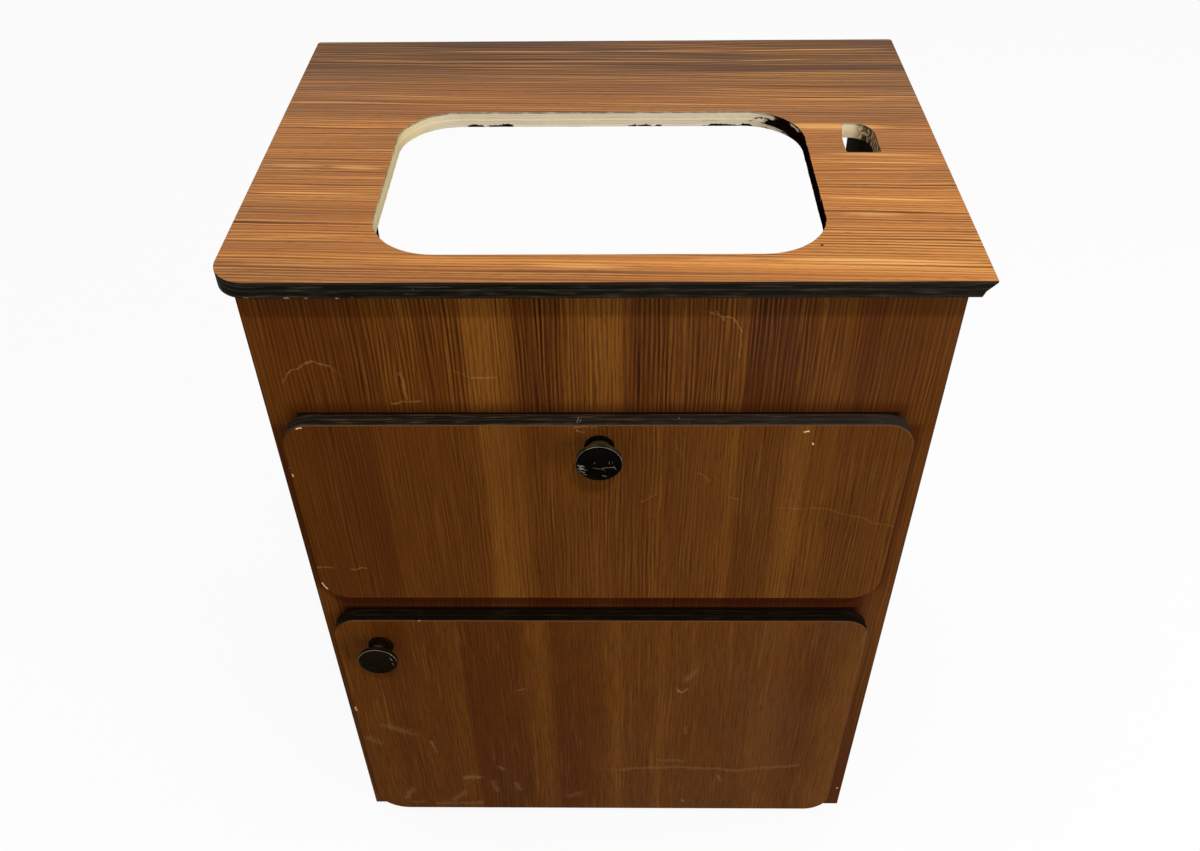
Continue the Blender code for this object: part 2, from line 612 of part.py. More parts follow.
def make_stay(flap, post, material):
    """The quadrant stay: an arc about the flap's hinge line that slides through a slotted guide."""
    stay_x = FLAP_RIGHT - PANEL_LAP - STAY_INSET
    half_strip = STAY_STRIP_WIDTH / 2
    half_thick = STAY_STRIP_THICKNESS / 2
    inner, outer = STAY_RADIUS - half_strip, STAY_RADIUS + half_strip
    centre = Vector((stay_x, FLAP_AXIS.y, FLAP_AXIS.z))
    foot_front = PANEL_BACK + CONTACT_GAP
    foot_back = foot_front + STAY_FOOT_THICKNESS
    guide_front = FRONT_BACK + CONTACT_GAP
    guide_back = guide_front + STAY_GUIDE_THICKNESS
    start = math.asin(((foot_front + foot_back) / 2 - centre.y) / STAY_RADIUS)
    stop = math.asin((guide_back + STAY_PIN_RADIUS + CONTACT_GAP - centre.y) / STAY_RADIUS)
    pin_angle = FLAP_OPEN_ANGLE + stop + STAY_STOP_PLAY
    tail_angle = pin_angle + STAY_TAIL_LENGTH / STAY_RADIUS

    strip = bmesh.new()
    ring = [(-half_thick, inner), (half_thick, inner), (half_thick, outer), (-half_thick, outer)]
    turn = Matrix.Rotation(-start, 3, "X")
    section = strip.faces.new([strip.verts.new(turn @ Vector((x, 0.0, radius))) for x, radius in ring])
    bmesh.ops.spin(strip, geom=[section], cent=(0, 0, 0), axis=X, angle=start - tail_angle, steps=ARC_STEPS)
    bmesh.ops.translate(strip, vec=centre, verts=strip.verts)
    stay = add_part("quadrant_stay", strip, material, SMOOTH_ANGLE)
    foot_half = STAY_FOOT_WIDTH / 2
    foot_low = centre.z + STAY_RADIUS - STAY_FOOT_HEIGHT / 2
    fuse(stay, box((stay_x - foot_half, foot_front, foot_low),
                   (stay_x + foot_half, foot_back, foot_low + STAY_FOOT_HEIGHT)))
    pin_place = centre + Matrix.Rotation(-pin_angle, 3, "X") @ Vector((0.0, 0.0, STAY_RADIUS))
    pin_half = STAY_PIN_LENGTH / 2
    cut(stay, aim(rod(STAY_PIN_RADIUS + SCREW_CLEARANCE, -pin_half, pin_half, BORE_STEPS), pin_place, X))
    pin = add_part("stay_stop_pin", aim(rod(STAY_PIN_RADIUS, -pin_half, pin_half, BORE_STEPS), pin_place, X),
                   material, SMOOTH_ANGLE)
    pitch = STAY_FOOT_SCREW_PITCH / 2
    spots = {end: (Vector((stay_x, foot_back, centre.z + STAY_RADIUS + offset)), -Y)
             for end, offset in (("lower", -pitch), ("upper", pitch))}
    drill(stay, STAY_SCREW, spots)
    drill(flap, STAY_SCREW, spots)
    screws = add_screws("stay_foot_screw", STAY_SCREW, spots, material)

    slot_low = centre.z + math.sqrt(inner ** 2 - (guide_back - centre.y) ** 2) - STAY_SLOT_CLEARANCE
    slot_high = centre.z + math.sqrt(outer ** 2 - (guide_front - centre.y) ** 2) + STAY_SLOT_CLEARANCE
    guide_low = (slot_low + slot_high - STAY_GUIDE_HEIGHT) / 2
    guide_high = guide_low + STAY_GUIDE_HEIGHT
    post_side = INSIDE_HALF - BATTEN - CONTACT_GAP
    flange_left = post_side - STAY_GUIDE_THICKNESS
    guide = add_part("stay_guide", box((stay_x - STAY_GUIDE_MARGIN, guide_front, guide_low),
                                       (post_side, guide_back, guide_high)), material)
    fuse(guide, box((flange_left, guide_front, guide_low),
                    (post_side, guide_back + STAY_GUIDE_FLANGE, guide_high)))
    slot_half = half_thick + STAY_SLOT_CLEARANCE
    cut(guide, box((stay_x - slot_half, guide_front - CUT_PAST, slot_low),
                   (stay_x + slot_half, guide_back + CUT_PAST, slot_high)))
    screw_y = guide_back + STAY_GUIDE_FLANGE / 2
    guide_middle = (guide_low + guide_high) / 2
    pitch = STAY_GUIDE_SCREW_PITCH / 2
    spots = {end: (Vector((flange_left, screw_y, guide_middle + offset)), X)
             for end, offset in (("lower", -pitch), ("upper", pitch))}
    drill(guide, GUIDE_SCREW, spots)
    drill(post, GUIDE_SCREW, spots)
    add_screws("stay_guide_screw", GUIDE_SCREW, spots, material)
    return [stay, pin] + screws


def make_flap(front_panel, post, laminate, black, steel, plastic):
    """The flap with everything that turns with it."""
    radii = [FLAP_BOTTOM_RADIUS, FLAP_BOTTOM_RADIUS, FLAP_TOP_RADIUS, FLAP_TOP_RADIUS]
    sheet = upright_plate(FLAP_LEFT, FLAP_RIGHT, FLAP_BOTTOM, FLAP_TOP, PANEL_FRONT, PANEL_BACK, radii)
    flap = add_part("flap_panel", sheet, laminate)
    turn = Matrix((X, Z, -Y)).transposed().to_4x4()
    middles = {"left": FLAP_LEFT + FLAP_HINGE_INSET, "right": FLAP_RIGHT - FLAP_HINGE_INSET}
    places = {label: Matrix.Translation((x, FLAP_AXIS.y, FLAP_AXIS.z)) @ turn for label, x in middles.items()}
    parts = [flap] + make_hinges("flap_hinge", places, steel)
    knob_x, knob_z = FLAP_AXIS.x + FLAP_KNOB_OFFSET_X, FLAP_TOP - FLAP_KNOB_DROP
    parts.append(make_knob("flap_knob", knob_x, knob_z, black))
    parts += bolt_knob(flap, "flap_knob", knob_x, knob_z, steel)
    seat = Vector((FLAP_AXIS.x + FLAP_CATCH_OFFSET_X, FACE, FLAP_TOP - PANEL_LAP))
    parts += make_catch("flap", seat, -Z, X, ("left", "right"), flap, front_panel, plastic, steel)
    parts += make_stay(flap, post, steel)
    return parts


def make_door(front_panel, laminate, black, steel, plastic):
    """The door with everything that turns with it."""
    radii = [DOOR_BOTTOM_LEFT_RADIUS, DOOR_BOTTOM_RIGHT_RADIUS, DOOR_TOP_RADIUS, DOOR_TOP_RADIUS]
    sheet = upright_plate(DOOR_LEFT, DOOR_RIGHT, DOOR_BOTTOM, DOOR_TOP, PANEL_FRONT, PANEL_BACK, radii)
    door = add_part("door_panel", sheet, laminate)
    turn = Matrix((Z, -X, -Y)).transposed().to_4x4()
    middles = {"upper": DOOR_TOP - DOOR_HINGE_INSET, "lower": DOOR_BOTTOM + DOOR_HINGE_INSET}
    places = {label: Matrix.Translation((DOOR_AXIS.x, DOOR_AXIS.y, z)) @ turn for label, z in middles.items()}
    parts = [door] + make_hinges("door_hinge", places, steel)
    knob_x, knob_z = DOOR_LEFT + DOOR_KNOB_LEFT_MARGIN, DOOR_TOP - DOOR_KNOB_DROP
    parts.append(make_knob("door_knob", knob_x, knob_z, black))
    parts += bolt_knob(door, "door_knob", knob_x, knob_z, steel)
    seat = Vector((DOOR_LEFT + PANEL_LAP, FACE, DOOR_TOP - DOOR_CATCH_DROP))
    parts += make_catch("door", seat, X, Z, ("lower", "upper"), door, front_panel, plastic, steel)
    return parts


def hang_all(name, axis_point, parts):
    """Hang a panel's pieces on an empty that sits on their hinge line."""
    axis = bpy.data.objects.new(name, None)
    axis.location = axis_point
    bpy.context.scene.collection.objects.link(axis)
    for part in parts:
        part.data.transform(Matrix.Translation(-axis_point))
        part.parent = axis


def main():
    """Build the carcass first, then the flap and the door on their hinge lines."""
    clear_scene()
    laminate = finish("wood_print_plywood", (0.235, 0.085, 0.025), 0.45)
    softwood = finish("softwood", (0.52, 0.36, 0.19), 0.75)
    black = finish("black_lacquer", (0.012, 0.011, 0.010), 0.28)
    steel = finish("zinc_steel", (0.56, 0.56, 0.54), 0.38, 1.0)
    plastic = finish("brown_plastic", (0.10, 0.05, 0.025), 0.5)

    worktop = make_worktop(laminate)
    front_panel = make_front_panel(laminate)
    make_boards(laminate)
    battens = make_battens(softwood)
    screw_worktop(battens, worktop, steel)
    flap_parts = make_flap(front_panel, battens["front_batten_right"], laminate, black, steel, plastic)
    door_parts = make_door(front_panel, laminate, black, steel, plastic)
    hang_all("flap_axis", FLAP_AXIS, flap_parts)
    hang_all("door_axis", DOOR_AXIS, door_parts)


main()
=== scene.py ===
# %% [markdown]
# # A second-hand vanity unit, dressed for its picture
# The cabinet is made of 15 mm plywood with a printed wood face. Its solids come from the CAD model, which is
# loaded first and never moved. Each cell below makes one piece or one finish on top of it. We keep the size of
# the CAD model before anything is added, so that we can compare it with the dressed model at the end.

import json
import math

import bmesh
import bpy
from mathutils import Matrix, Vector, noise


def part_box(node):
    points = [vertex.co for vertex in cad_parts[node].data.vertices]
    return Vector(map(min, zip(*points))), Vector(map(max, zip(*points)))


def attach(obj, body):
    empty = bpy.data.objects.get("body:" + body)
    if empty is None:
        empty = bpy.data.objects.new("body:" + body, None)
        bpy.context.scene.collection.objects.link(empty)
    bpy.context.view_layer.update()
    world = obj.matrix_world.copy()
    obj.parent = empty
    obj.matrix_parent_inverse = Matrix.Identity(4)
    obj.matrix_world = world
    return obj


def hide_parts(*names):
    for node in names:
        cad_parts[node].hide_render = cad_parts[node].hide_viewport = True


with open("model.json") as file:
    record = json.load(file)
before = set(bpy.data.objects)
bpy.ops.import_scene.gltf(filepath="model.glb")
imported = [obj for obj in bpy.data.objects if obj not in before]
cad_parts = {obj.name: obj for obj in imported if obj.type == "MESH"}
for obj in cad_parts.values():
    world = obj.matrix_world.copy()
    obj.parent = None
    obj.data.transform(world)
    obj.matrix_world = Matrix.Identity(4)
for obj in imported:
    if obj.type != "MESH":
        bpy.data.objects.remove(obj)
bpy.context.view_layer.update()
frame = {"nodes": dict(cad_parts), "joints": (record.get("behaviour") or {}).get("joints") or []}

# %% [markdown]
# ## Formulas for shaders
#
# A material in Blender is a tree of nodes, and each node hands its result on through an output socket. A Wire
# holds such a socket. Wires are added and multiplied like numbers, and each sign adds one Math node to the
# tree, so that the materials below read like formulas. Colours are written as a picture editor shows them, as
# three values from 0 to 255, and turned into the linear light that shaders use where they enter a node. One
# number alone is a grey.

# %% Wires and nodes
MIX_SHARE, MIX_FIRST, MIX_SECOND, MIX_RESULT = 0, 6, 7, 2


class Wire:
    """An output socket to calculate with: each sign in a formula adds one Math node."""

    def __init__(self, socket):
        self.socket, self.tree = socket, socket.id_data

    def __add__(self, other):
        return calc("ADD", self, other)

    def __sub__(self, other):
        return calc("SUBTRACT", self, other)

    def __rsub__(self, other):
        return calc("SUBTRACT", other, self)

    def __mul__(self, other):
        return calc("MULTIPLY", self, other)

    def __truediv__(self, other):
        return calc("DIVIDE", self, other)

    def __rtruediv__(self, other):
        return calc("DIVIDE", other, self)

    def __abs__(self):
        return calc("ABSOLUTE", self)


def tree_of(*values):
    """The node tree of the first wire among these values."""
    return next(value.tree for value in values if isinstance(value, Wire))


def add_node(tree, kind, inputs=None, **settings):
    """Add a node, set its options, then link the inputs that are wires and write the others."""
    made = tree.nodes.new(kind)
    for key, value in settings.items():
        setattr(made, key, value)
    for key, value in (inputs or {}).items():
        if isinstance(value, Wire):
            tree.links.new(value.socket, made.inputs[key])
        else:
            made.inputs[key].default_value = value
    return made


def calc(operation, *values):
    """One Math node."""
    made = add_node(tree_of(*values), "ShaderNodeMath", dict(enumerate(values)), operation=operation)
    return Wire(made.outputs[0])


def largest(masks):
    """The largest of many masks at each place."""
    total, *others = masks
    for mask in others:
        total = calc("MAXIMUM", total, mask)
    return total


def rescale(value, low, high, new_low=0.0, new_high=1.0, curve="SMOOTHSTEP"):
    """Map a value from one range to another, held at both ends."""
    ends = {"Value": value, "From Min": low, "From Max": high, "To Min": new_low, "To Max": new_high}
    return Wire(add_node(value.tree, "ShaderNodeMapRange", ends, interpolation_type=curve).outputs["Result"])


def within(value, low, high, soft):
    """1 between two values, fading to 0 over a soft edge."""
    return rescale(value, low - soft, low) * rescale(value, high + soft, high)


def on_vectors(operation, first, second):
    """One Vector Math node."""
    inputs = {0: first, "Scale" if operation == "SCALE" else 1: second}
    made = add_node(tree_of(first, second), "ShaderNodeVectorMath", inputs, operation=operation)
    return Wire(made.outputs["Value" if operation in ("DOT_PRODUCT", "DISTANCE") else "Vector"])


def split(vector):
    """The x, y and z of a vector."""
    return [Wire(part) for part in add_node(vector.tree, "ShaderNodeSeparateXYZ", {0: vector}).outputs]


print("formulas ready")


# %% Colours and noise
def light(colour):
    """A colour for a node: a wire as it is, a grey from 0 to 1, or three screen values in linear light."""
    if isinstance(colour, Wire):
        return colour
    if isinstance(colour, (int, float)):
        return (colour, colour, colour, 1.0)
    shares = [part / 255 for part in colour]
    return (*[share / 12.92 if share <= 0.04045 else ((share + 0.055) / 1.055) ** 2.4 for share in shares], 1.0)


def mix(share, first, second, how="MIX"):
    """Mix two colours."""
    inputs = {MIX_SHARE: share, MIX_FIRST: light(first), MIX_SECOND: light(second)}
    made = add_node(tree_of(share, first, second), "ShaderNodeMix", inputs, data_type="RGBA", blend_type=how)
    return Wire(made.outputs[MIX_RESULT])


def ramp(value, stops):
    """A colour ramp from (place, colour) pairs in rising order."""
    made = add_node(value.tree, "ShaderNodeValToRGB", {"Fac": value})
    elements = made.color_ramp.elements
    for index, (place, colour) in ((0, stops[0]), (1, stops[-1])):
        elements[index].position, elements[index].color = place, light(colour)
    for place, colour in stops[1:-1]:
        elements.new(place).color = light(colour)
    return Wire(made.outputs["Color"])


def noise_at(place, scale, detail, roughness=0.5, output=0):
    """Plain noise; a larger scale gives finer blotches. Output 0 is a value and output 1 a colour."""
    inputs = {"Vector": place, "Scale": scale, "Detail": detail, "Roughness": roughness}
    return Wire(add_node(place.tree, "ShaderNodeTexNoise", inputs).outputs[output])


def stretched_noise(along, across, length, width, seed=0.0, detail=2.0, roughness=0.5):
    """Noise drawn out along the grain: its blotches are about this long and this wide, in metres."""
    place = add_node(along.tree, "ShaderNodeCombineXYZ", {"X": along / length, "Y": across / width, "Z": seed})
    return noise_at(Wire(place.outputs[0]), 1.0, detail, roughness)


print("colours and noise ready")

# %% Groups and materials
# A material's axes: the place as a vector, then its x, y and z
PLACE, X, Y, Z = 0, 1, 2, 3


def new_group(name, inputs, outputs):
    """An empty shader node group with its sockets. Returns the tree, its inputs as wires and its output node."""
    tree = bpy.data.node_groups.new(name, "ShaderNodeTree")
    for label, kind in inputs.items():
        tree.interface.new_socket(name=label, in_out="INPUT", socket_type="NodeSocket" + kind)
    for label in outputs:
        tree.interface.new_socket(name=label, in_out="OUTPUT", socket_type="NodeSocketFloat")
    entry = add_node(tree, "NodeGroupInput").outputs
    return tree, {label: Wire(entry[label]) for label in inputs}, add_node(tree, "NodeGroupOutput")


def close_group(leave, wires):
    """Link what the group puts out."""
    for label, wire in wires.items():
        wire.tree.links.new(wire.socket, leave.inputs[label])
    print("group:", leave.id_data.name)


def use_group(group, inputs):
    """Place a node group. Returns its outputs as wires."""
    made = add_node(tree_of(*inputs.values()), "ShaderNodeGroup", inputs, node_tree=group)
    return {output.name: Wire(output) for output in made.outputs}


def new_material(name, **constants):
    """A material, its Principled shader and the place on the object in metres: the vector, then x, y and z.

    The constants are the shader's inputs that are the same all over."""
    material = bpy.data.materials.new(name)
    material.use_nodes = True
    shader = material.node_tree.nodes["Principled BSDF"]
    for key, value in constants.items():
        shader.inputs[key.replace("_", " ")].default_value = value
    place = Wire(add_node(material.node_tree, "ShaderNodeTexCoord").outputs["Object"])
    return material, shader, (place, *split(place))


def feed(shader, colour, roughness, relief, depth, strength=0.5):
    """Link colour and roughness to the shader, and the relief through a Bump node."""
    bump = add_node(relief.tree, "ShaderNodeBump", {"Height": relief, "Distance": depth, "Strength": strength})
    for key, wire in (("Base Color", colour), ("Roughness", roughness), ("Normal", Wire(bump.outputs["Normal"]))):
        relief.tree.links.new(wire.socket, shader.inputs[key])


print("groups and materials ready")

# %% [markdown]
# ## Printed grain
#
# The wood on this unit is a printed paper face, so its grain is flat: long thin dark lines with pale ones
# between them, and short pore marks, all running one way. A plain wave is too even for that, so the wave's
# turns are shifted by noise that is stretched along the grain, and a second noise makes the lines swell and
# fade. Finer stretched noise adds the hairs, the gold lines and the pores. Every wooden face uses this group.

# %% Group: printed grain
GRAIN_INPUTS = ("Along", "Across", "Seed", "Spacing", "Wander", "Length")
CLOUD_SIZE, PORE_SIZE = (0.16, 0.05), (0.012, 0.0010)
LINE_SHIFT, FAINTEST_SWELL = 1.8, 0.28
grain_group, entry, leave = new_group("printed_grain", dict.fromkeys(GRAIN_INPUTS, "Float"), (
    "Bent", "Lines", "Pale", "Hairs", "Gold", "Pores", "Clouds", "Zones"))
along, across, seed, spacing, wander, length = [entry[label] for label in GRAIN_INPUTS]
drift = stretched_noise(along, across, *CLOUD_SIZE, seed)
bent = across + (drift - 0.5) * wander


def grain_waves(lengths, spacings, seed_step):
    """Stretched noise; lengths and spacings are multiples of the lines' length and spacing."""
    return stretched_noise(along, bent, length * lengths, spacing * spacings, seed + seed_step, detail=1.0)


zones = rescale(grain_waves(1.4, 5.0, 17.0), 0.42, 0.62)
turns = grain_waves(1.0, 1.8, 0.0) * LINE_SHIFT + bent / spacing
line_waves = calc("SINE", turns * (2.0 * math.pi))
swell = rescale(grain_waves(0.7, 2.0, 29.0), 0.36, 0.66, FAINTEST_SWELL, 1.0)
gold_lines = rescale(grain_waves(1.1, 0.45, 5.0), 0.55, 0.67)
pores = stretched_noise(along, bent, *PORE_SIZE, seed, detail=1.0)
close_group(leave, {"Bent": bent, "Lines": rescale(line_waves, 0.0, 0.85) * swell,
                    "Pale": rescale(line_waves, 0.0, -0.85) * swell,
                    "Hairs": rescale(grain_waves(0.36, 0.28, 11.0), 0.48, 0.64), "Gold": gold_lines * zones,
                    "Pores": rescale(pores, 0.58, 0.68),
                    "Clouds": stretched_noise(along, across, *CLOUD_SIZE, seed, detail=3.0), "Zones": zones})


def grain_of(along, across, seed, spacing, wander, length):
    """The printed grain: how far apart its lines are, how far they wander and how long they are, in metres."""
    return use_group(grain_group, dict(zip(GRAIN_INPUTS, (along, across, seed, spacing, wander, length))))


# %% [markdown]
# ## One scuff
#
# Old fronts carry a few scratches that everyone would point at. Each is a short line with a soft edge. The
# group measures how far a point is from the line between two ends, and breaks the line up with noise so that it
# looks rubbed and not drawn. A panel places the group once for each of its marks.

# %% Group: scuff
CURL_SCALE, GRIT_SCALE = 75.0, 260.0
scuff_group, entry, leave = new_group(
    "scuff", {"Place": "Vector", "Rub": "Float", "Start": "Vector", "End": "Vector", "Width": "Float"}, ("Mask",))
reach = on_vectors("SUBTRACT", entry["End"], entry["Start"])
offset = on_vectors("SUBTRACT", entry["Place"], entry["Start"])
part_way = on_vectors("DOT_PRODUCT", offset, reach) / on_vectors("DOT_PRODUCT", reach, reach)
part_way = rescale(part_way, 0.0, 1.0, curve="LINEAR")
away = on_vectors("DISTANCE", offset, on_vectors("SCALE", reach, part_way))
close_group(leave, {"Mask": rescale(away * entry["Rub"] / entry["Width"], 1.0, 0.0)})


def marks_mask(place, marks, flat, wander):
    """Many scuffs in one mask. Each mark: start, end, width, strength. flat drops the way through the board."""
    curl = on_vectors("SUBTRACT", noise_at(place, CURL_SCALE, 2.0, output=1), (0.5, 0.5, 0.5))
    bent = on_vectors("ADD", place, on_vectors("SCALE", curl, wander))
    bent = on_vectors("MULTIPLY", bent, flat)
    rub = rescale(noise_at(place, GRIT_SCALE, 3.0), 0.3, 0.75, 0.7, 2.0)
    masks = []
    for start, end, width, strength in marks:
        line = {"Place": bent, "Rub": rub, "Start": start, "End": end, "Width": width}
        masks.append(use_group(scuff_group, line)["Mask"] * strength)
    return largest(masks)


# %% [markdown]
# ## One soft streak
#
# The worktop's print has long pale streaks that swell in the middle and fade to nothing at both ends. Each is a
# very flat ellipse. The group measures how far out in the ellipse a point is, and fades from 1 in the middle to
# 0 at its edge.

# %% Group: soft streak
streak_group, entry, leave = new_group("soft_streak", {
    "Place": "Vector", "Middle": "Vector", "Half Length": "Float", "Half Width": "Float", "Lean": "Float"},
    ("Mask",))
ahead, sideways, _ = split(on_vectors("SUBTRACT", entry["Place"], entry["Middle"]))
length_share = ahead / entry["Half Length"]
width_share = (sideways - ahead * entry["Lean"]) / entry["Half Width"]
close_group(leave, {"Mask": rescale(length_share * length_share + width_share * width_share, 1.0, 0.0)})

# %% [markdown]
# ## The layers of plywood
#
# A sawn edge of plywood shows its veneers as bands, with a thin dark glue line between each two. The group
# takes the way through the board, from 0 at one face to 1 at the other, cuts it into five plies and puts out
# which ply we are in, the glue lines, and fine fibres. Black edges and raw edges both use it.

# %% Group: plies
PLY_COUNT, PLY_WAVER = 5.0, 0.07
ply_group, entry, leave = new_group(
    "plies", {"Through": "Float", "Place": "Vector"}, ("Odd Ply", "Glue", "Fibres"))
waver = (noise_at(entry["Place"], 45.0, 2.0) - 0.5) * PLY_WAVER
plies = (entry["Through"] + waver) * PLY_COUNT
to_seam = calc("PINGPONG", plies, 0.5)
patches = rescale(noise_at(entry["Place"], 14.0, 3.0), 0.35, 0.62, 0.35, 1.0)
close_group(leave, {"Odd Ply": calc("PINGPONG", calc("FLOOR", plies), 1.0),
                    "Glue": rescale(to_seam, 0.28, 0.08) * patches, "Fibres": noise_at(entry["Place"], 900.0, 2.0)})


def through_board(axes, axis, low, high):
    """How far through a board we are, from 0 to 1."""
    return rescale(axes[axis], low, high, curve="LINEAR")


def plies_of(axes, through):
    """The plies of a board, by how far through it we are."""
    return use_group(ply_group, {"Through": through, "Place": axes[PLACE]})


# %% [markdown]
# ## Chips and rubbed spots
#
# Paint and print come off in small flakes. Noise cut at a threshold gives flakes: where the noise is above it,
# the finish is gone. A much wider noise is added to it, so that the flakes come in groups.

# %% Group: chips
chip_group, entry, leave = new_group("chips", {"Place": "Vector", "Size": "Float", "Share": "Float"}, ("Mask",))
density = 1.0 / entry["Size"]
fine = noise_at(entry["Place"], density, 4.0, 0.6)
wide = noise_at(entry["Place"], density * 0.12, 1.0)
cut_off = 0.72 - entry["Share"] * 0.4
close_group(leave, {"Mask": rescale(fine * 0.6 + wide * 0.4 - cut_off, 0.0, 0.03)})


def chips_on(place, size, share):
    """Where the finish has come off in flakes of about this size."""
    return use_group(chip_group, {"Place": place, "Size": size, "Share": share})["Mask"]


# %% [markdown]
# ## The printed fronts
#
# The front, the flap, the door and the sides show upright planks, golden and red-brown in turn. What the eye
# remembers is where the dark planks are, so each panel has a short list of plank tones from left to right: 0 is
# the darkest red-brown and 1 the brightest gold. The dark planks also get the strongest grain lines. The marks
# of use are listed too, because each front has its own.

# %% Plank tones and marks, in millimetres
FRONT_PLANKS = ((-288, .34), (-276, .34), (-270, .26), (-190, .24), (-183, .50), (-153, .50), (-148, .36),
                (-114, .42), (-111, .92), (-90, .95), (-72, .58), (-69, .20), (-34, .22), (-31, .70),
                (-18, .62), (-4, .86), (16, .80), (26, .16), (54, .20), (60, .46), (102, .42), (118, .74),
                (121, .06), (160, .10), (163, .27), (196, .54), (205, .30), (220, .08), (230, .28), (255, .32),
                (288, .46))
FLAP_PLANKS = ((-276, .22), (-198, .14), (-193, .40), (-112, .42), (-106, .66), (-97, .98), (-86, .84),
               (-66, .60), (-63, .34), (-48, .42), (-24, .62), (-20, .55), (12, .45), (16, .36), (44, .40),
               (48, .72), (56, .52), (76, .56), (108, .68), (114, .84), (124, .40), (154, .44), (164, .76),
               (178, .80), (182, .50), (198, .70), (208, .48), (234, .44), (268, .60))
DOOR_PLANKS = ((-277, .50), (-240, .48), (-234, .32), (-216, .30), (-196, .46), (-176, .34), (-160, .52),
               (-150, .44), (-147, .10), (-128, .12), (-90, .26), (-84, .50), (-66, .74), (-56, .52),
               (-53, .18), (-36, .22), (-4, .42), (4, .66), (14, .86), (22, .60), (50, .52), (62, .82),
               (70, .58), (100, .56), (150, .54), (168, .72), (186, .70), (204, .50), (218, .34), (269, .82))
SIDE_PLANKS = ((-175, .34), (-140, .42), (-137, .80), (-110, .86), (-96, .50), (-93, .14), (-52, .18),
               (-48, .62), (-20, .70), (-17, .36), (16, .30), (20, .76), (48, .90), (60, .48), (63, .10),
               (98, .16), (104, .52), (140, .60), (143, .24), (180, .20), (185, .56), (230, .66))
# Each mark: start x, start height below the worktop's top, end x, end height, width, strength from 0 to 1
FRONT_MARKS = ((-240, -92, -263, -105, 1.6, .13), (-263, -105, -268, -116, 1.4, .10),
               (-240, -92, -226, -97, 1.4, .12), (-226, -97, -216, -108, 1.2, .06),
               (-180, -137, -153, -136, 1.5, .14), (-168, -104, -166, -132, 2.0, .10),
               (-122, -103, -108, -109, 1.3, .07), (-108, -109, -88, -110, 1.6, .13),
               (88, -43, 104, -49, 1.6, .15), (93, -42, 98, -50, 1.4, .16), (104, -49, 114, -62, 1.5, .15),
               (114, -62, 115, -88, 1.3, .08), (282.8, -762, 283.2, -764, 1.6, .7))
FLAP_MARKS = ((-260, -151.4, -256.5, -150.9, 1.4, .95), (-274.2, -206, -274, -207.5, 1.1, .8),
              (-270.4, -159, -271, -162, .9, .35), (-273, -355, -270, -363, 2.0, .8),
              (172.5, -154.6, 177.5, -155.2, 1.1, .8), (179.2, -169.4, 179.8, -170, 1.2, .7),
              (-24, -149.6, -11, -150.2, 1.2, .20), (-22, -153, -17, -155, 1.1, .24),
              (-16, -156, -13, -157, 1.0, .20), (-9, -150.5, -3, -151, .9, .13),
              (-273, -331, -258, -333, 2.2, .11), (-244, -334, -228, -333, 1.8, .13),
              (159, -248, 200, -250, 1.4, .07), (200, -250, 268, -274, 1.4, .07),
              (85, -206, 97, -214, 1.3, .08), (36, -240, 48, -232, 1.4, .07), (62, -160, 70, -186, 1.2, .05),
              (114, -234, 122, -238, 1.4, .08), (-104, -314, -98, -302, 1.3, .07))
DOOR_MARKS = ((-246, -603, -222, -614, 10, .10), (-222, -614, -217, -620, 7, .08),
              (-270, -625, -258, -637, 9, .09), (-199, -634, -197, -648, 3.6, .16),
              (-196, -650, -192, -656, 2.6, .10), (-168, -712, -150, -711, 7, .16),
              (-158, -716, -156, -706, 5, .10), (-124, -688, -121, -693, 5, .14),
              (-134, -722, -132, -740, 7, .10), (-106, -726, -104, -738, 8, .10),
              (-242, -758, -232, -738, 8, .12), (-184, -762, -170, -746, 10, .11),
              (-206, -772, -152, -770, 7, .10), (-236, -768, -222, -768, 6, .09),
              (-42, -752, -30, -746, 9, .08), (18, -692, 80, -687, 5.5, .11), (80, -687, 153, -693, 6, .11),
              (153, -693, 222, -683, 6, .10), (-14, -694, 18, -693, 4, .05), (86, -512, 95, -499, 7.5, .11),
              (79, -530, 84, -537, 3.0, .22), (84, -537, 90, -529, 2.8, .20), (90, -604, 91, -616, 3.2, .10),
              (62, -672, 90, -674, 5, .09), (133, -706, 135, -714, 4.5, .13), (-93, -534, -86, -530, 3.4, .12),
              (-274, -565, -273, -572, 2.4, .5), (93, -759, 94, -763, 3.0, .22))
MILLIMETRE = 0.001
worktop_low, worktop_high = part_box("worktop")
front_low, front_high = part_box("front_panel")
flap_low, flap_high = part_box("flap_panel")
door_low, door_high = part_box("door_panel")


def upright_marks(marks, x=0.0, z=worktop_high.z):
    """Marks of an upright face as places in the model; they are listed in millimetres from this x and z."""
    return [((x + x0 * MILLIMETRE, 0.0, z + z0 * MILLIMETRE), (x + x1 * MILLIMETRE, 0.0, z + z1 * MILLIMETRE),
             width * MILLIMETRE, strength) for x0, z0, x1, z1, width, strength in marks]


print("planks listed:", len(FRONT_PLANKS) + len(FLAP_PLANKS) + len(DOOR_PLANKS) + len(SIDE_PLANKS))

# %% [markdown]
# ## Painted shade and shadow on the front
#
# The print of the front is painted redder and darker as shade from the flap and the door: between them, just
# above the flap and beside its right end. Its right border also darkens towards the bottom. A painted contact
# shadow lies in the narrow gap behind their upper edges. And the printed lines are not equally clear all over:
# they fade towards the ends of the front and on the left half of the flap.

# %% Painted shade, painted contact shadow and faded lines
PANEL_CORNER, CORNER_FADE = 0.012, 0.014


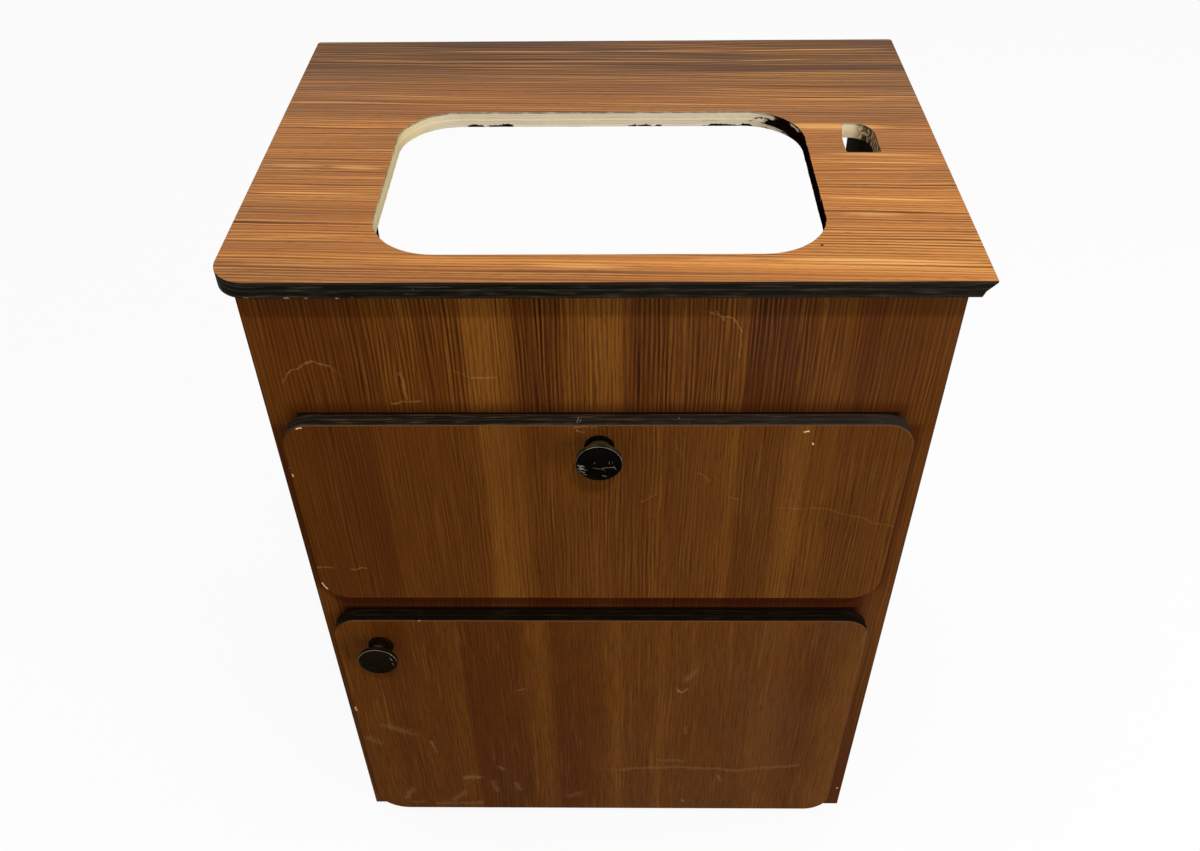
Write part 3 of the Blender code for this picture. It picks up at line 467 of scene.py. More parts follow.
def shade_from_panels(x, z):
    """Painted shade of the flap and door on the front; the right border also darkens towards the bottom."""
    along_flap = within(x, flap_low.x + PANEL_CORNER, flap_high.x - PANEL_CORNER, CORNER_FADE)
    between = within(z, door_high.z - 0.02, flap_low.z + 0.01, 0.004) * along_flap
    above_flap = within(z, flap_high.z - 0.02, flap_high.z, 0.016) * along_flap
    beside_flap = within(z, flap_low.z, flap_high.z - 0.02, 0.01) * rescale(
        x, flap_high.x + 0.0150, flap_high.x + 0.0050, 0.0, 0.60)
    low_right = rescale(z, flap_low.z, door_low.z, 0.0, 0.55) * rescale(x, door_high.x - 0.01, door_high.x)
    return largest((between * 0.80, above_flap * 0.62, beside_flap, low_right))


def gap_shadow_lines(x, z):
    """Painted contact shadow in the gap behind the upper edges of the flap and the door."""
    lines = [within(z, high.z - 0.008, high.z + reach, 0.0006) * within(x, low.x + 0.016, high.x - 0.016, 0.008)
             for low, high, reach in ((flap_low, flap_high, -0.0005), (door_low, door_high, 0.0012))]
    return largest(lines) * 0.9


def front_ends(x):
    """The lines of the front are clear in the middle and faint near its two ends."""
    return rescale(within(x, -0.16, 0.15, 0.09), 0.0, 1.0, 0.50, 1.0)


def flap_ends(x):
    """The lines of the flap are faint on its left half."""
    return rescale(x, -0.22, 0.03, 0.60, 1.0)


print("shade and grime ready")

# %% [markdown]
# ## One function for every printed front
#
# The plank's tone picks the ground colour. Then the five layers of the grain are laid over it, each with its
# own share in dark and in golden planks. A painted sheen that grows towards the right comes next, then the whole
# panel is darkened, partly for its own deeper tone and partly as painted shade for the light that falls off
# towards the lower panels. The painted shade and contact shadow from the flap and the door, and the marks, come
# last, as the marks did on the real fronts.

# %% Material: printed fronts
PLANK_COLOURS = ((0.0, (88, 42, 15)), (0.3, (102, 54, 15)), (0.6, (117, 67, 21)), (1.0, (146, 90, 31)))
LINE_COLOUR, HAIR_COLOUR, GOLD_COLOUR, PORE_COLOUR = (44, 17, 6), (62, 29, 8), (156, 97, 36), (50, 24, 9)
# Painted shade, painted contact shadow in the gaps and a painted sheen
SHADED_COLOUR, GAP_SHADOW_COLOUR, SHEEN_COLOUR = (62, 22, 7), (18, 13, 8), (140, 112, 88)
SCRATCH_COLOURS = ((0.0, (166, 112, 56)), (0.35, (190, 146, 94)), (0.8, (222, 202, 170)))
MILKY_COLOURS = ((0.0, (128, 92, 50)), (0.35, (160, 130, 90)), (0.8, (216, 198, 168)))
FULL_MARK, MARK_WANDER = 0.42, 0.009
FRONT_WANDER = 0.006
UPRIGHT, LEVEL = (1.0, 0.0, 1.0), (1.0, 1.0, 0.0)


def plank_tone(across, planks):
    """The tone of the plank at a place across the panel."""
    first, last = planks[0][0], planks[-1][0]
    place = rescale(across, first * MILLIMETRE, last * MILLIMETRE, curve="LINEAR")
    return ramp(place, [((spot - first) / (last - first), tone) for spot, tone in planks])


def printed_front(name, planks, seed, marks=(), mark_colours=SCRATCH_COLOURS, across_axis=X, spacing=0.0039,
                  length=0.13, contrast=1.0, line_strength=0.9, hair_strength=0.9, pore_strength=1.0, sheen=0.0,
                  depth=1.0, shaded_by_panels=False, faded_ends=None, patchy=0.0):
    """Upright planks; across_axis is X for a face seen from the front and Y for a side."""
    material, shader, axes = new_material(name, Specular_IOR_Level=0.008)
    place, x, _, z = axes
    grain = grain_of(z, axes[across_axis], seed, spacing, FRONT_WANDER, length)
    tone = plank_tone(grain["Bent"], planks)
    colour = ramp((tone - 0.5) * contrast + 0.5 + (grain["Clouds"] - 0.5) * 0.45, PLANK_COLOURS)
    # Each layer: its share in the darkest and in the golden planks, its strength and its colour
    layers = (("Hairs", 0.55, 0.50, hair_strength, HAIR_COLOUR), ("Pale", 0.26, 0.42, line_strength, GOLD_COLOUR),
              ("Lines", 0.88, 0.42, line_strength, LINE_COLOUR), ("Gold", 0.30, 0.75, hair_strength, GOLD_COLOUR),
              ("Pores", 0.38, 0.30, pore_strength, PORE_COLOUR))
    for layer, in_dark, in_gold, strength, layer_colour in layers:
        share = rescale(tone, 0.05, 0.75, in_dark * strength, in_gold * strength, "LINEAR")
        if faded_ends:
            share = share * faded_ends(x)
        if layer == "Lines":
            share = share * rescale(grain["Zones"], 0.0, 1.0, 1.0 - patchy, 1.0)
        colour = mix(grain[layer] * share, colour, layer_colour)
    roughness = rescale(grain["Clouds"], 0.25, 0.75, 0.40, 0.52)
    # Painted sheen in blotches, growing towards the right
    if sheen:
        sheen_mask = rescale(noise_at(place, 9.0, 4.0), 0.3, 0.75, 0.3, 1.0) * rescale(x, -0.2, 0.28, 0.0, sheen)
        colour = mix(sheen_mask, colour, SHEEN_COLOUR)
    # Darkens the whole panel: partly its own deeper tone, partly painted shade for the light falling off towards the
    # lower panels
    colour = mix(1.0, colour, depth, "MULTIPLY")
    # Painted shade from the flap and the door, then painted contact shadow behind their upper edges
    if shaded_by_panels:
        colour = mix(shade_from_panels(x, z), colour, SHADED_COLOUR)
        colour = mix(gap_shadow_lines(x, z), colour, GAP_SHADOW_COLOUR)
    if marks:
        mask = marks_mask(place, upright_marks(marks), UPRIGHT, MARK_WANDER)
        colour = mix(rescale(mask, 0.0, FULL_MARK, curve="LINEAR"), colour, ramp(mask, mark_colours))
        roughness = mask * 0.3 + roughness
    feed(shader, colour, roughness, (grain["Lines"] + grain["Pores"]) * -1.0, depth=0.0001, strength=0.35)
    return material


print("front finish ready")

# %% Front, flap, door and side prints
front_print = printed_front("front_print", FRONT_PLANKS, 3.1, FRONT_MARKS, spacing=0.0038, line_strength=1.2,
                            sheen=0.07, depth=0.765, shaded_by_panels=True, faded_ends=front_ends, patchy=0.3)
flap_print = printed_front("flap_print", FLAP_PLANKS, 11.7, FLAP_MARKS, spacing=0.0037, length=0.11, contrast=0.85,
                           line_strength=0.68, hair_strength=0.6, pore_strength=0.9, sheen=0.06, depth=0.68,
                           faded_ends=flap_ends, patchy=0.5)
door_print = printed_front("door_print", DOOR_PLANKS, 23.4, DOOR_MARKS, MILKY_COLOURS, spacing=0.0042, length=0.07,
                           contrast=0.76, line_strength=0.28, hair_strength=0.60, pore_strength=0.7, sheen=0.10,
                           depth=0.655, patchy=0.5)
side_print = printed_front("side_print", SIDE_PLANKS, 37.9, across_axis=Y, depth=0.86)
print("printed fronts:", front_print.name, flap_print.name, door_print.name, side_print.name)

# %% [markdown]
# ## The printed worktop
#
# The worktop's grain runs from side to side. Its bands are listed from the front edge to the back, honey and gold
# at the front and a cool brown at the back: partly the print's own bands and partly painted light, bright at the
# front and to the right and dim towards the back. The whole pattern leans a little, as it does on the real sheet,
# and long pale and dark streaks cross it.

# %% Bands and streaks of the worktop, in millimetres
# The band tones also hold painted light: bright near the front edge, dim towards the back
WORKTOP_BANDS_AND_LIGHT = ((0, .53), (14, .57), (20, .72), (27, .92), (34, .62), (64, .70), (74, .62), (84, .60),
                 (96, .50), (118, .66), (128, .72), (138, .62), (150, .54), (166, .48), (176, .52), (195, .64),
                 (203, .50), (240, .50), (251, .64), (258, .48), (270, .39), (296, .38), (307, .46),
                 (314, .36), (330, .34), (348, .28), (364, .27), (371, .13), (400, .09), (412, .18),
                 (419, .08), (440, .08))
BAND_COLOURS = ((0.0, (64, 42, 27)), (0.15, (90, 61, 38)), (0.33, (133, 88, 52)), (0.52, (170, 108, 57)),
                (0.72, (196, 125, 62)), (1.0, (232, 158, 80)))
# Each streak: start x, start depth from the front edge, end x, end depth, width, strength
GOLD_STREAKS = ((-262, 413, -166, 409, 2.0, .35), (-172, 415, 0, 412, 2.4, .65),
                (-10, 414, 150, 413, 2.6, .65), (120, 413, 300, 417, 2.8, .70),
                (-299, 395, -160, 391, 2.4, .45), (-200, 391, 160, 388, 2.2, .50),
                (120, 388, 230, 394, 2.4, .45), (-150, 356, 60, 352, 2.4, .45), (120, 362, 298, 359, 5.0, .30),
                (150, 303, 300, 303, 4.5, .55), (-296, 320, -120, 309, 2.4, .40),
                (-294, 311, 0, 302, 2.0, .30), (-285, 252, -180, 247, 4.0, .30),
                (150, 250, 264, 245, 13.0, .75), (186, 183, 298, 178, 2.6, .75),
                (205, 171, 298, 167, 2.2, .60), (-297, 180, -240, 177, 5.0, .50),
                (-240, 177, -188, 173, 7.0, .65), (192, 197, 298, 192, 5.0, .60),
                (-297, 134, -190, 129, 3.2, .90), (180, 123, 298, 115, 3.2, .90), (196, 97, 250, 95, 8.0, .45),
                (130, 31, 300, 23, 8.0, .95), (-60, 24, 24, 20, 6.0, .70), (-292, 28, -170, 23, 6.0, .35),
                (60, 30, 130, 31, 4.0, .45), (190, 54, 300, 49, 4.5, .40), (-296, 62, -200, 66, 4.0, .30))
DARK_STREAKS = ((-298, 36, -150, 29, 1.6, .60), (-292, 20, -190, 15, 2.2, .50), (200, 262, 300, 256, 3.0, .30),
                (-290, 214, -200, 208, 2.5, .30), (-40, 8, 160, 12, 2.0, .30), (196, 140, 300, 134, 2.4, .35),
                (-290, 376, 20, 366, 2.6, .55), (-20, 367, 298, 368, 2.6, .50), (-290, 362, 40, 352, 2.0, .55),
                (-280, 400, 60, 396, 2.4, .40), (0, 405, 290, 404, 2.6, .40), (-290, 306, -60, 298, 2.6, .35),
                (-20, 384, 120, 383, 2.6, .35), (60, 330, 298, 326, 2.2, .30), (-80, 318, 140, 314, 2.0, .30))
print("streaks listed:", len(GOLD_STREAKS) + len(DARK_STREAKS))

# %% Material: printed worktop
GRAIN_LEAN = 0.033
SCREW_HOLE = (0.1741, -0.1601)
# A streak fades to nothing this far from its middle, as a share of its length and its width
STREAK_LENGTHS, STREAK_WIDTHS = 0.58, 0.62
WORKTOP_LAYERS = (("Pale", 0.54, (236, 160, 86)), ("Lines", 0.84, (76, 40, 20)), ("Gold", 0.32, (236, 166, 94)),
                  ("Hairs", 0.07, (240, 176, 104)), ("Pores", 0.34, (90, 50, 30)))


def streaks_mask(place, streaks):
    """Many soft streaks on the worktop in one mask."""
    masks = []
    for x0, y0, x1, y1, width, strength in streaks:
        middle = ((x0 + x1) / 2 * MILLIMETRE, worktop_low.y + (y0 + y1) / 2 * MILLIMETRE, worktop_high.z)
        shape = {"Place": place, "Middle": middle, "Half Length": (x1 - x0) * STREAK_LENGTHS * MILLIMETRE,
                 "Half Width": width * STREAK_WIDTHS * MILLIMETRE, "Lean": (y1 - y0) / (x1 - x0)}
        masks.append(use_group(streak_group, shape)["Mask"] * strength)
    return largest(masks)


worktop_print, shader, (place, x, y, _) = new_material("worktop_print", Specular_IOR_Level=0.05)
across = x * GRAIN_LEAN + y - worktop_low.y
grain = grain_of(x, across, seed=5.3, spacing=0.0040, wander=0.007, length=0.34)
shade = (grain["Clouds"] - 0.5) * 0.26 + plank_tone(grain["Bent"], WORKTOP_BANDS_AND_LIGHT)
# Painted light: brighter towards the right, most near the front edge
colour = ramp(shade + x * rescale(across, 0.05, 0.30, 0.42, 0.05), BAND_COLOURS)
in_zone = rescale(grain["Zones"], 0.0, 1.0, 0.70, 1.0)
at_back = rescale(across, 0.30, 0.40, 1.0, 1.4)
for layer, strength, layer_colour in WORKTOP_LAYERS:
    share = grain[layer] * in_zone * strength
    if layer == "Lines":
        share = share * at_back
    colour = mix(share, colour, layer_colour)
between_lines = rescale(grain["Lines"], 0.0, 0.8, 0.95, 0.30)
colour = mix(streaks_mask(place, GOLD_STREAKS) * between_lines, colour, (244, 180, 104))
colour = mix(streaks_mask(place, DARK_STREAKS), colour, (84, 46, 25))
from_hole = on_vectors("DISTANCE", place, (*SCREW_HOLE, worktop_high.z))
colour = mix(rescale(from_hole, 0.0017, 0.0009), colour, (48, 28, 16))
roughness = rescale(grain["Clouds"], 0.25, 0.75, 0.34, 0.46)
feed(shader, colour, roughness, (grain["Lines"] + grain["Pores"]) * -1.0, depth=0.0001, strength=0.3)
print("material:", worktop_print.name)

# %% [markdown]
# ## Black edges and worn corners
#
# The maker painted the sawn edges black, and the plies show faintly through. Brushed streaks run along the
# paint, a painted sheen brightens the right end of the worktop's and the flap's edges, and nicks show the pale
# wood. The narrow rounded corner between a face and an edge has lost its finish in places. One function makes the
# black edge for boards that lie in any direction.

# %% Materials: black edges and worn corners
BARE_WOOD = (205, 190, 160)
STREAK_SIZE, STREAK_GAIN = (0.030, 0.0030), 1.6


def black_edge(name, axis, low, high, chip_share=0.12, tones=((54, 45, 34), (38, 31, 23)), marks=(), flat=LEVEL,
               edge_sheen=0.0):
    """Black paint over the sawn plies of a board; tones are the colours of the two kinds of ply."""
    material, shader, axes = new_material(name, Specular_IOR_Level=0.008)
    first, second = [axes[other] for other in (X, Y, Z) if other != axis]
    plies = plies_of(axes, through_board(axes, axis, low, high))
    streaks = stretched_noise(first + second, axes[axis], *STREAK_SIZE, seed=3.0, detail=3.0, roughness=0.6)
    colour = mix(plies["Odd Ply"], *tones)
    colour = mix(rescale(streaks, 0.50, 0.68, 0.0, 0.85), colour, [part * STREAK_GAIN for part in tones[0]])
    colour = mix(rescale(streaks, 0.48, 0.30, 0.0, 0.75), colour, (11, 9, 6))
    colour = mix(plies["Glue"] * 0.85, colour, (12, 10, 7))
    colour = mix(plies["Fibres"] * 0.30, colour, (16, 14, 11))
    # Painted sheen, brighter towards the right end
    if edge_sheen:
        colour = mix(rescale(axes[X], -0.15, 0.28, 0.0, edge_sheen), colour, (58, 51, 48))
    flakes = chips_on(axes[PLACE], 0.0035, chip_share)
    colour = mix(flakes * 0.7, colour, BARE_WOOD)
    if marks:
        colour = mix(marks_mask(axes[PLACE], marks, flat, 0.004), colour, (190, 174, 148))
    roughness = rescale(plies["Fibres"], 0.3, 0.7, 0.42, 0.62)
    feed(shader, colour, roughness, plies["Fibres"] * 0.5 - plies["Glue"] - flakes, depth=0.0003)
    return material


def worn_corner(name, ground, span=None):
    """The rounded corner of a face, bare where knocks have been; it is rubbed pale over this span of x."""
    material, shader, (place, x, _, _) = new_material(name, Specular_IOR_Level=0.0)
    flakes = chips_on(place, 0.006, 0.14)
    dirt = noise_at(place, 400.0, 2.0)
    if span:
        ground = mix(within(x, *span, 0.01), (66, 40, 17), ground)
    colour = mix(flakes, ground, mix(dirt, (150, 112, 72), BARE_WOOD))
    feed(shader, colour, rescale(dirt, 0.3, 0.7, 0.45, 0.65), flakes * -1.0, depth=0.0002)
    return material


print("edge finishes ready")

# %% Edges of worktop, front, flap and door
# Nicks along the lower corner of the worktop's front edge: start x, end x, strength
NICKS = ((-273, -270, .25), (-242, -238, .45), (-226, -224, .3), (-202, -199.5, .95), (-190, -188.5, .2))
NICK_WIDTH = 0.0009
EDGE_NICKS = [((x0 * MILLIMETRE, 0.0, worktop_low.z + 0.0006), (x1 * MILLIMETRE, 0.0, worktop_low.z + 0.0004),
               NICK_WIDTH, strength) for x0, x1, strength in NICKS]
# Two strokes of a knife across the flap's upper edge: start, end, width, strength
KNIFE_MARKS = [((-0.0205, flap_low.y + 0.003, 0.0), (-0.0190, flap_low.y + 0.009, 0.0), 0.0006, 0.6),
               ((-0.0185, flap_low.y + 0.004, 0.0), (-0.0170, flap_low.y + 0.007, 0.0), 0.0005, 0.4)]
worktop_edge = black_edge("worktop_edge", Z, worktop_low.z, worktop_high.z, chip_share=0.06,
                          tones=((40, 35, 28), (24, 20, 15)), marks=EDGE_NICKS, flat=UPRIGHT, edge_sheen=0.10)
front_edge = black_edge("front_edge", Y, front_low.y, front_high.y)
flap_edge = black_edge("flap_edge", Y, flap_low.y, flap_high.y, marks=KNIFE_MARKS, edge_sheen=0.35)
# The door's edges have darker tones: painted shade of the flap over the door's upper edge
door_edge = black_edge("door_edge", Y, flap_low.y, flap_high.y, chip_share=0.05, tones=((29, 20, 11), (18, 12, 6)))
worktop_corner = worn_corner("worktop_corner", (58, 38, 22))
panel_corner = worn_corner("panel_corner", (92, 62, 40), (flap_low.x + 0.02, flap_high.x + 0.01))
print("edges:", worktop_edge.name, front_edge.name, flap_edge.name, door_edge.name)

# %% [markdown]
# ## The wall of the cut-outs
#
# Inside the basin cut-out and the tap hole the saw left bare plywood: pale plies, faint saw marks and a dark,
# ragged line under the print. Old black sealant still sticks to the right end of the basin's far wall, in
# tongues that slant upwards, and a few smears lie along the foot. The right wall of the tap hole is brown and
# torn.

# %% Material: bare cut wall
SEALANT_START, SEALANT_FULL, SEALANT_END = 0.134, 0.196, 0.199
SEALANT_FADE = 0.004
SEALANT_SHARE = 0.62
# A spot that the sealant has left bare: start, end, width, strength
BARE_PATCH = [((0.1742, 0.0, worktop_high.z - 0.0008), (0.1788, 0.0, worktop_high.z - 0.0024), 0.0022, 1.0)]
# The smears at the foot of the far wall: middle x and half length
FOOT_SMEARS = ((-0.105, 0.028), (0.040, 0.020), (0.115, 0.030))
TAP_WALL = (0.231, 0.242)

cut_wall, shader, axes = new_material("cut_wall", Specular_IOR_Level=0.0)
place, x, y, z = axes
through = through_board(axes, Z, worktop_low.z, worktop_high.z)
plies = plies_of(axes, through)
round_wall = x + y
stain = stretched_noise(round_wall, z, 0.012, 0.005, seed=8.0, detail=5.0, roughness=0.62)
tap_side = rescale(x, SEALANT_END, SEALANT_END + SEALANT_FADE)

# The bare wood, more yellow at the left and in the tap hole, where it turns brown at the right
saw_marks = stretched_noise(round_wall, z, 0.030, 0.0013, seed=3.0, detail=3.0, roughness=0.6)
torn = stretched_noise(z, round_wall, 0.010, 0.0016, seed=21.0, detail=3.0, roughness=0.6)
colour = mix(plies["Odd Ply"], (255, 239, 211), (247, 225, 186))
colour = mix(plies["Glue"] * 0.26, colour, (150, 128, 94))
colour = mix(plies["Fibres"] * 0.10, colour, (170, 154, 122))
colour = mix(rescale(x, -0.150, -0.180) * 0.55, colour, (252, 230, 158))
colour = mix(rescale(saw_marks, 0.54, 0.72, 0.0, 0.32), colour, (132, 112, 84))
colour = mix(tap_side * 0.60, colour, (255, 234, 188))
colour = mix(rescale(x, *TAP_WALL, 0.0, 0.45), colour, (168, 112, 48))
colour = mix(rescale(torn, 0.42, 0.54) * rescale(x, *TAP_WALL, 0.0, 0.95), colour, (46, 28, 11))

# The ragged dark line under the print
ragged = largest((rescale(stain, 0.25, 0.62, 0.30, 1.0), tap_side * 0.8))
colour = mix(rescale(through, 0.84, 0.94, 0.0, 0.75) * ragged, colour, (46, 29, 15))

# The sealant at the right and the smears along the foot
slanting = (1.0 - through) * 0.012 + x
slanting = within(through, 0.35, 0.62, 0.2) * 0.013 + slanting
near_right = rescale(slanting, SEALANT_START, SEALANT_FULL, 0.0, SEALANT_SHARE, "LINEAR")
past_basin = rescale(x, SEALANT_END, SEALANT_END + SEALANT_FADE, 0.0, SEALANT_SHARE)
blotches = stretched_noise(round_wall, z, 0.006, 0.0045, seed=15.0, detail=4.0, roughness=0.6)
sealant = rescale(blotches + (near_right - past_basin), 0.84, 0.90)
sealant = sealant * (1.0 - marks_mask(place, BARE_PATCH, UPRIGHT, 0.002))
at_foot = largest([rescale(abs(x - middle), half, half * 0.6) for middle, half in FOOT_SMEARS])
foot = at_foot * rescale(through, 0.34, 0.06) * 0.34 + stain
smear = largest((sealant, rescale(foot, 0.70, 0.76)))
colour = mix(smear, colour, (22, 11, 6))
feed(shader, colour, rescale(smear, 0.0, 1.0, 0.78, 0.50), plies["Fibres"] + smear * 2.0, depth=0.0004)
print("material:", cut_wall.name)

# %% [markdown]
# ## Inside: dark wash with painted shade, and bare wood
#
# What shows of the inside through the tap hole is nearly black, so the inner faces are dark with the grain of
# the veneer still showing: a thin dark wash, made darker as painted shade of the closed inside. The shelf, the base
# and the rails are bare birch plywood with a little dirt, and the battens are planed softwood with its bright, wide
# growth rings.

# %% Materials: inside
GRAIN_LENGTH = 0.22


def shaded_black_wash(name, along_axis, across_axis, seed):
    """A thin dark wash on a veneer, rubbed through here and there, made darker as painted shade of the inside."""
    material, shader, axes = new_material(name, Specular_IOR_Level=0.0)
    grain = grain_of(axes[along_axis], axes[across_axis], seed, spacing=0.008, wander=0.02, length=GRAIN_LENGTH)
    colour = ramp(grain["Clouds"], ((0.25, (44, 38, 33)), (0.75, (70, 61, 52))))
    colour = mix(grain["Gold"] * 0.35, colour, (98, 85, 69))
    colour = mix(grain["Lines"] * 0.5, colour, (24, 21, 18))
    colour = mix(chips_on(axes[PLACE], 0.012, 0.06) * 0.6, colour, (128, 106, 78))
    feed(shader, colour, rescale(grain["Clouds"], 0.25, 0.75, 0.55, 0.72), grain["Lines"] * -1.0, depth=0.0002)
    return material


def bare_wood(name, along_axis, across_axis, seed, spacing, pale, dark, ring):
    """Bare wood: veneer or planed softwood, by its colours and the spacing of its rings."""
    material, shader, axes = new_material(name, Specular_IOR_Level=0.25)
    grain = grain_of(axes[along_axis], axes[across_axis], seed, spacing, spacing * 3, GRAIN_LENGTH)
    colour = mix(grain["Clouds"], pale, dark)
    colour = mix(grain["Gold"] * 0.55, colour, ring)
    colour = mix(grain["Lines"] * 0.35, colour, ring)
    colour = mix(grain["Pores"] * 0.25, colour, (110, 84, 54))
    colour = mix(rescale(noise_at(axes[PLACE], 11.0, 5.0), 0.52, 0.78, 0.0, 0.45), colour, (112, 96, 76))
    feed(shader, colour, rescale(grain["Clouds"], 0.2, 0.8, 0.62, 0.80), grain["Lines"] * -1.0, depth=0.0003)
    return material


def raw_edge(name, axis, low, high):
    """The sawn edge of a bare board, with its plies."""
    material, shader, axes = new_material(name, Specular_IOR_Level=0.2)
    plies = plies_of(axes, through_board(axes, axis, low, high))
    colour = mix(plies["Odd Ply"], (204, 182, 142), (160, 128, 88))
    colour = mix(plies["Glue"] * 0.7, colour, (92, 66, 42))
    colour = mix(plies["Fibres"] * 0.4, colour, (128, 102, 70))
    feed(shader, colour, rescale(plies["Fibres"], 0.3, 0.7, 0.7, 0.85), plies["Fibres"] - plies["Glue"],
         depth=0.0003)
    return material


print("wood finishes ready")

# %% Shaded wash, birch and pine
# Spacing of the rings, the pale and the dark colour, and the colour of the rings
BIRCH = 0.012, (206, 178, 134), (182, 148, 102), (158, 120, 76)
PINE = 0.006, (214, 176, 118), (194, 150, 92), (150, 96, 50)
shaded_wash_upright = shaded_black_wash("shaded_wash_upright", Z, X, 41.0)
shaded_wash_side = shaded_black_wash("shaded_wash_side", Z, Y, 43.0)
shaded_wash_level = shaded_black_wash("shaded_wash_level", X, Y, 47.0)
birch_level = bare_wood("birch_level", X, Y, 51.0, *BIRCH)
birch_upright = bare_wood("birch_upright", X, Z, 53.0, *BIRCH)
pine_deep = bare_wood("pine_deep", Y, Z, 61.0, *PINE)
pine_upright = bare_wood("pine_upright", Z, Y, 67.0, *PINE)
print("inside finishes:", shaded_wash_upright.name, birch_level.name, pine_deep.name)

# %% [markdown]
# ## Black lacquer, zinc and brown plastic
#
# The knobs are turned wood in glossy black lacquer. The lacquer has gone from the front rim, where fingers
# pull, and a painted glint brightens that rim along its upper side; the face is scratched. A painted sheen lies on
# the side of the head and a painted highlight on the upper side of the neck. The hinges, screws and the stay are
# zinc plated: a dull, slightly mottled metal. The catches are moulded brown plastic.

# %% Material: lacquer
KNOB_RIM_RADIUS, RIM_HALF_WIDTH = 0.0196, 0.0001


def knob_lacquer(name, centre, wear_and_glint_share, side_sheen_share, neck_highlight_share, neck_highlight_half, neck_highlight_reach, darkest, lightest, marks):
    """Black lacquer on the knob at this centre: worn and with a painted glint round the upper rim, a painted sheen
    on the head's side and a painted highlight on the neck; marks lie on its face.
    """
    material, shader, (place, x, y, z) = new_material(name, Specular_IOR_Level=0.005)
    side, rise = x - centre.x, z - centre.z
    radius = calc("SQRT", side * side + rise * rise)
    on_face = rescale(y, centre.y + 0.0012, centre.y + 0.0007)
    rubbed, patchy = noise_at(place, 260.0, 3.0), noise_at(place, 120.0, 3.0)
    flecks = chips_on(place, 0.0016, 0.24)
    at_rim = within(radius, KNOB_RIM_RADIUS - RIM_HALF_WIDTH, KNOB_RIM_RADIUS, RIM_HALF_WIDTH) * rescale(
        y, centre.y + 0.0012, centre.y + 0.0008)
    # The pale rim: partly worn lacquer, partly a painted glint along its upper side
    worn = at_rim * rescale(rise, -0.003, 0.007, 0.12, 1.0) * rescale(patchy, 0.30, 0.60, 0.35, wear_and_glint_share)
    # Painted sheen on the side of the head
    head_side_sheen = rescale(radius, 0.0150, 0.0185) * rescale(y, centre.y + 0.0008, centre.y + 0.0014)
    head_side_sheen = head_side_sheen * rescale(patchy, 0.30, 0.65, 0.15, 1.0)
    # Painted highlight on the upper side of the neck
    neck = rescale(radius, 0.0142, 0.0132) * within(y, centre.y + 0.0060, centre.y + neck_highlight_reach, 0.0030)
    neck = neck * rescale(rise, 0.003, 0.011) * rescale(abs(side), neck_highlight_half, neck_highlight_half * 0.3)
    colour = ramp(rubbed, ((0.35, darkest), (0.7, lightest)))
    colour = mix(head_side_sheen * side_sheen_share, colour, (78, 62, 42))
    colour = mix(neck * neck_highlight_share, colour, (84, 72, 54))
    colour = mix(flecks * (on_face * 0.5), colour, (52, 50, 44))
    scratches = marks_mask(place, upright_marks(marks, centre.x, centre.z), UPRIGHT, 0.005) * on_face
    colour = mix(scratches, colour, (128, 122, 110))
    worn = largest((worn, scratches * 0.4))
    # Pale worn lacquer and scratches, with the painted glint along the upper rim
    colour = mix(worn, colour, (186, 180, 166))
    roughness = rescale(rubbed + worn * 0.5, 0.35, 0.95, 0.16, 0.5)
    feed(shader, colour, roughness, (flecks + worn) * -1.0, depth=0.0002, strength=0.4)
    return material


print("lacquer ready")

# %% Materials: zinc and brown plastic
zinc, shader, (place, *_) = new_material("zinc", Metallic=1.0)
mottle = noise_at(place, 130.0, 4.0)
spots = chips_on(place, 0.003, 0.16)
colour = mix(spots * 0.6, ramp(mottle, ((0.3, (150, 150, 146)), (0.7, (196, 195, 190)))), (112, 92, 70))
feed(shader, colour, spots * 0.25 + rescale(mottle, 0.3, 0.7, 0.30, 0.46), mottle, depth=0.0001, strength=0.15)

brown_plastic, shader, (place, *_) = new_material("brown_plastic", Specular_IOR_Level=0.4)
cloud, pebble = noise_at(place, 60.0, 3.0), noise_at(place, 1600.0, 1.0)
colour = ramp(cloud, ((0.3, (70, 44, 28)), (0.7, (88, 58, 38))))
feed(shader, colour, rescale(cloud, 0.3, 0.7, 0.42, 0.55), pebble, depth=0.0001, strength=0.3)
print("hardware finishes:", zinc.name, brown_plastic.name)

# %% [markdown]
# ## From bmesh to piece
#
# Every piece below is built in a bmesh, at its own place in the model's frame. The others make and round flat
# boards. Flat faces stay flat shaded and the small rounded corners are smooth, so that the big faces don't get
# false shading from their edges.


# %% Piece helpers
def mesh_from(bm, name, materials=()):
    """Turn a bmesh into a mesh with these materials."""
    mesh = bpy.data.meshes.new(name)
    bm.to_mesh(mesh)
    bm.free()
    for material in materials:
        mesh.materials.append(material)
    return mesh


def add_object(name, data):
    """Put a mesh, a lamp or a camera in the scene."""
    made = bpy.data.objects.new(name, data)
    bpy.context.scene.collection.objects.link(made)
    return made


def make_piece(name, bm, materials, body, replaced=()):
    """Turn a bmesh into an object that rides on a body and stands for CAD nodes."""
    piece = add_object(name, mesh_from(bm, name, materials))
    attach(piece, body)
    if replaced:
        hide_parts(*replaced)
    return piece


def bevel(bm, geom, radius, steps, affect="EDGES", **options):
    """Round these edges or points."""
    bmesh.ops.bevel(bm, geom=geom, offset=radius, segments=steps, profile=0.5, affect=affect, material=-1, **options)


def move(bm, *vec):
    """Move the whole bmesh."""
    bmesh.ops.translate(bm, vec=vec, verts=bm.verts[:])


def face_outwards(bm):
    """Turn every face's normal outwards."""
    bmesh.ops.recalc_face_normals(bm, faces=bm.faces[:])


print("piece helpers ready")

# %% Shape helpers
CORNER_ANGLE = math.radians(50)
FLAT = 0.995


